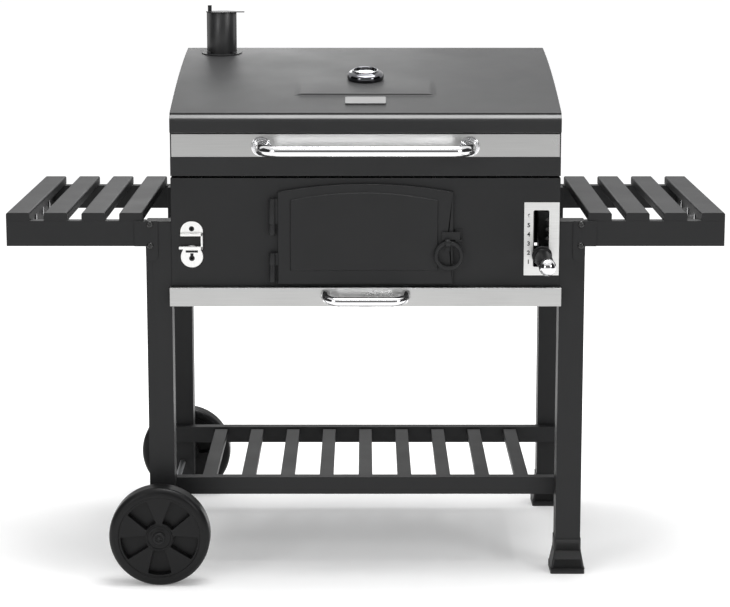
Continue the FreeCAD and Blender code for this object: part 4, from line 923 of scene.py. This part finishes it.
# %% Bottle opener
low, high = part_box("bottle_opener")
FACE_Y = high.y
OPENER_DEEP = 0.0085
middle_x = (low.x + high.x) / 2
half_x = (high.x - low.x) / 2
LEDGE_HIGH, LEDGE_LOW = 0.6925, 0.6870
LIP_HIGH, LIP_LOW = 0.6665, 0.6610
upper = bmesh.new()
upper_half = (high.z - LEDGE_LOW) / 2
loop = outline_loop(upper, rectangle(half_x, upper_half), 0)
sheet_metal(upper, loop, 0.0020, 0)
tops = [e for e in upper.edges if abs(e.verts[0].co.z - e.verts[1].co.z) > 0.001 and e.verts[0].co.y > 0]
round_off(upper, tops, 0.0205, 12)
lower = spun([(0.0, 0.0020), (half_x - 0.0006, 0.0020), (half_x, 0.0014), (half_x, 0.0), (0.0, 0.0)], 56)


def block(size, spot, soft=0.0008):
    """A small bent-metal block with soft edges, as its own bmesh."""
    mesh = bmesh.new()
    bmesh.ops.create_cube(mesh, size=1.0, matrix=Matrix.Translation(spot) @ Matrix.Diagonal((*size, 1)))
    round_off(mesh, mesh.edges[:], soft, 3)
    return mesh


deep_y = FACE_Y - OPENER_DEEP / 2
opener = gather([
    (upper, facing_front((middle_x, FACE_Y, high.z - upper_half))),
    (lower, facing_front((middle_x, FACE_Y, low.z + half_x))),
    *((block((wide, OPENER_DEEP, top - base), (x, deep_y, (top + base) / 2)), STAY)
      for wide, x, top, base in ((2 * half_x, middle_x, LEDGE_HIGH, LEDGE_LOW),
                                 (2 * half_x + 0.003, middle_x - 0.0015, LIP_HIGH, LIP_LOW),
                                 (0.0040, high.x - 0.0020, LEDGE_HIGH, LIP_LOW))),
])
settle(opener, "opener_strip", PRESSED, "cart", ["bottle_opener"])
heads = [(button_head(radius, 0.0024, 0.0022), facing_front((middle_x, FACE_Y - 0.0018, z)))
         for radius, z in ((0.0052, 0.7010), (0.0056, 0.6425))]
marks = [(block((width, 0.0006, height), (middle_x, FACE_Y - 0.0021, z), 0.0001), STAY)
         for width, height, z in ((0.0240, 0.0044, 0.6560), (0.0062, 0.0070, 0.6490))]
screws = gather(heads + marks)
settle(screws, "opener_screws", COAT_DARK, "cart", ())

# %% [markdown]
# ## Height scale
# A bright plate with a window for the lever. The window has round corners. The numbers beside it are
# generic heights from 1 to 6: they start as text, become a mesh, and only then go to their place.

# %% Scale plate and numbers
low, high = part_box("lever_scale_plate")
plate_middle = ((low.x + high.x) / 2, (low.z + high.z) / 2)
SLOT_LOW, SLOT_HIGH = (0.3290, 0.6255), (0.3600, 0.7377)
scale = bmesh.new()
outer = outline_loop(scale, rectangle((high.x - low.x) / 2, (high.z - low.z) / 2), 0.0008, 2)
window = outline_loop(scale, rectangle((SLOT_HIGH[0] - SLOT_LOW[0]) / 2, (SLOT_HIGH[1] - SLOT_LOW[1]) / 2,
                                       (SLOT_LOW[0] + SLOT_HIGH[0]) / 2 - plate_middle[0],
                                       (SLOT_LOW[1] + SLOT_HIGH[1]) / 2 - plate_middle[1]), 0.0035)
sheet_metal(scale, outer + window, high.y - low.y, 0.0003)
settle(scale, "height_scale", STEEL_PLATE, "cart", ["lever_scale_plate"],
       facing_front((plate_middle[0], high.y, plate_middle[1])))
NUMBER_SIZE = 0.0115
NUMBER_LOW, NUMBER_STEP = 0.6350, 0.0182
for index in range(6):
    words = bpy.data.curves.new(f"number_{index + 1}", "FONT")
    words.body = str(index + 1)
    words.size = NUMBER_SIZE
    words.align_x = words.align_y = "CENTER"
    words.extrude = 0.0001
    words.offset = 0.0004
    writing = placed("number_text", words)
    bpy.context.view_layer.update()
    flat = bpy.data.meshes.new_from_object(writing.evaluated_get(bpy.context.evaluated_depsgraph_get()))
    bpy.data.objects.remove(writing)
    number = bmesh.new()
    number.from_mesh(flat)
    bpy.data.meshes.remove(flat)
    join(number, 0.000001)
    settle(number, f"scale_number_{index + 1}", INK, "cart", (),
           facing_front((0.3200, low.y - 0.0001, NUMBER_LOW + index * NUMBER_STEP)))

# %% [markdown]
# ## Lever grip and ball
# The pan lever ends in a black grip behind a round guard, and a chrome ball. All three are turned
# parts, so each is one spun profile.

# %% Lever grip and ball
low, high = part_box("lever_grip")
lever_x, lever_z = (low.x + high.x) / 2, (low.z + high.z) / 2
grip_long = high.y - low.y
GUARD = (high.x - low.x) / 2
ROD = 0.0052
GRIP = rounded([(ROD, 0.0), (GUARD - 0.0010, 0.0), (GUARD, 0.0030), (GUARD - 0.0012, 0.0060),
                (0.0125, 0.0075), (0.0135, 0.0200), (0.0168, 0.0450), (0.0160, 0.0800),
                (0.0145, grip_long - 0.0060), (0.0125, grip_long), (ROD, grip_long)], 0.0040, 5)
settle(spun(GRIP, 48), "lever_grip_turned", WHEEL_PLASTIC, "charcoal_lift", ["lever_grip"],
       facing_front((lever_x, high.y, lever_z)))
low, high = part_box("lever_ball")
ball_radius = (high.z - low.z) / 2
angles = [math.radians(step) for step in range(-90, 91, 6)]
arc = [(ball_radius * math.cos(angle), ball_radius * math.sin(angle)) for angle in angles]
arc[0], arc[-1] = (0.0, -ball_radius), (0.0, ball_radius)
settle(spun(arc, 64), "lever_knob", CHROME, "charcoal_lift", ["lever_ball"],
       facing_front((lever_x, low.y + ball_radius, lever_z)))

# %% [markdown]
# ## Pull ring
# The door is pulled open by a ring of round rod that hangs from the latch strap. A circle spun once
# round the ring's own centre gives it.

# %% Pull ring
low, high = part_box("latch_ring")
ring_wire = (high.y - low.y) / 2
ring_radius = (high.z - low.z) / 2 - ring_wire
ring = bmesh.new()
section = bmesh.ops.create_circle(ring, cap_ends=False, segments=20, radius=ring_wire,
                                  matrix=Matrix.Translation((ring_radius, 0, 0)) @ UPRIGHT)["verts"]
whole_turn(ring, section + ring.edges[:], 64)
face_out(ring)
settle(ring, "door_pull_ring", COAT, "pull_ring", ["latch_ring"],
       facing_front((low + high) / 2))

# %% [markdown]
# ## Soft edges on sheet and tube
# The pieces that keep their construction shape get their edge radii here: about a millimetre on tubes
# and channels, less on thin steel, more on the door panel.

# %% Edge radii
RAILS = [f"{side}_{part}" for side in ("left", "right")
         for part in ("shelf_front_rail", "shelf_rear_rail", "shelf_end_rail", "shelf_slats")]
LEGS = [name for name in nodes.keys() if name.startswith("leg_") and name != "leg_caps"]
for width, segments, names in (
        (0.0016, 3, LEGS), (0.0013, 3, RAILS),
        (0.0014, 3, ("leg_caps", "bottom_front_rail", "bottom_rear_rail")),
        (0.0018, 2, ("front_door",)), (0.0012, 2, ("bottom_shelf_slats", "firebox_front")),
        (0.0008, 2, ("firebox_sides", "firebox_back")), (0.0007, 2, ("shelf_brackets",)),
        (0.0006, 2, ("drawer_front", "door_hinge_straps", "door_hinge_seats", "latch_bar", "chimney_flue")),
        (0.0005, 2, ("latch_keeper", "chimney_cap", "chimney_flange", "lid_hinge_lid_leaves",
                     "lid_hinge_box_leaves", "charcoal_pan")), (0.0004, 2, ("ash_drawer",))):
    for name in names:
        ease(name, width, segments)
print("edges eased")

# %% [markdown]
# ## Studio
# The cart stands on a pale floor in a white studio. The world is full white wherever it is seen, straight
# or in a mirror or glass, and softer as a light. One large lamp overhead draws the gradients on the lid
# and the shadow under the bottom shelf, and three small ones fill in. The floor adds some white of its
# own where it is seen, which lifts the paper without touching the light on the cart. It adds less within
# about two metres of the cart, which paints a soft darker pool round it on top of the real shadow.

# %% Floor, world and lamps
# Less glow near the cart than far off: painted shade round the cart, added to the real shadow.
SHADED_NEAR_LIFT, FAR_LIFT = 0.16, 0.50
NEAR_PAPER, FAR_PAPER = 0.5, 2.2


def worked_out(tree, operation, first, second):
    """One Math node on two sockets."""
    sum_node = tree.nodes.new("ShaderNodeMath")
    sum_node.operation = operation
    tree.links.new(first, sum_node.inputs[0])
    tree.links.new(second, sum_node.inputs[1])
    return sum_node.outputs["Value"]


def looked_at(tree):
    """1 for rays that show the background: straight ones, and those by way of metal or glass."""
    rays = tree.nodes.new("ShaderNodeLightPath")
    shown = rays.outputs["Is Camera Ray"]
    for name in ("Is Glossy Ray", "Is Transmission Ray"):
        shown = worked_out(tree, "MAXIMUM", shown, rays.outputs[name])
    return shown


floor_mesh = bmesh.new()
bmesh.ops.create_grid(floor_mesh, x_segments=1, y_segments=1, size=40)
floor = placed("floor", as_data(floor_mesh, "floor"))
paper, tree, shader = start_finish("floor_paper")
dialled(shader, {"Base Color": (*grey(0.86), 1), "Roughness": 0.9, "Specular IOR Level": 0.0,
                 "Emission Color": (1, 1, 1, 1)})
paper_place = tree.nodes.new("ShaderNodeTexCoord")
away = tree.nodes.new("ShaderNodeVectorMath")
away.operation = "LENGTH"
tree.links.new(paper_place.outputs["Object"], away.inputs[0])
# The glow grows with distance from the cart, so the floor close by is darker: painted shade.
spread = ranged(tree, away.outputs["Value"], SHADED_NEAR_LIFT, FAR_LIFT, NEAR_PAPER, FAR_PAPER)
lift = worked_out(tree, "MULTIPLY", looked_at(tree), spread)
tree.links.new(lift, shader.inputs["Emission Strength"])
floor.data.materials.append(paper)

bpy.context.scene.view_settings.view_transform = "Standard"
world = bpy.data.worlds.new("studio")
bpy.context.scene.world = world
world.use_nodes = True
sky = world.node_tree
glow = sky.nodes["Background"]
dialled(glow, {"Color": (1, 1, 1, 1)})
strength = sky.nodes.new("ShaderNodeMapRange")
AMBIENT = 0.62
dialled(strength, {"To Min": AMBIENT, "To Max": 1.0})
sky.links.new(looked_at(sky), strength.inputs["Value"])
sky.links.new(strength.outputs["Result"], glow.inputs["Strength"])


def soft_lamp(name, place, aim, size, power):
    """A square area lamp aimed at a point."""
    lamp = bpy.data.lights.new(name, "AREA")
    lamp.shape = "SQUARE"
    lamp.size = size
    lamp.energy = power
    fitting = placed(name, lamp)
    fitting.location = place
    fitting.rotation_euler = (Vector(aim) - Vector(place)).to_track_quat("-Z", "Y").to_euler()
    fitting.visible_camera = False


soft_lamp("top_box", (0.2, 0.05, 3.2), (0.12, 0, 0.8), 1.8, 106)
soft_lamp("back_box", (-0.30, 3.0, 2.3), (0, 0, 0.95), 0.9, 8)
soft_lamp("right_box", (2.9, -3.0, 2.5), (0, 0, 0.6), 1.0, 30)
soft_lamp("left_box", (-2.4, -3.4, 1.9), (0, 0, 0.7), 0.8, 19)

# %% [markdown]
# Grey and dark cards stand round the cart, as in any studio. Only mirrors see them: they draw the dark
# line along the chromed bars, which would otherwise look like white plastic.

# %% Studio cards
def studio_card(name, finish, middle, turn, half_wide, half_tall):
    """An upright card that shows in mirrors alone."""
    mesh = bmesh.new()
    bmesh.ops.create_grid(mesh, x_segments=1, y_segments=1, size=1.0)
    upright = Matrix.Rotation(turn, 4, "Z") @ UPRIGHT
    stretch = Matrix.Diagonal((half_wide, half_tall, 1, 1))
    bmesh.ops.transform(mesh, matrix=Matrix.Translation(middle) @ upright @ stretch, verts=mesh.verts)
    card = placed(name, as_data(mesh, name))
    card.data.materials.append(finish)
    card.visible_camera = False
    card.visible_diffuse = False
    card.visible_shadow = False


GREY_CARD = moulded("grey_card", grey(0.16), grey(0.20), 0.8, 0.00001, 0.1)
studio_card("card_front", GREY_CARD, (0, LEG_FACE - VIEW_DISTANCE - 0.6, 2.8), 0, 3.8, 1.9)
studio_card("card_back", GREY_CARD, (0, 4.5, 0.8), 0, 4.0, 0.78)
for side, sign in SIDES:
    studio_card(f"card_{side}", COAT_DARK, (sign * 4.2, -1.4, 2.5), math.radians(90), 2.4, 2.3)
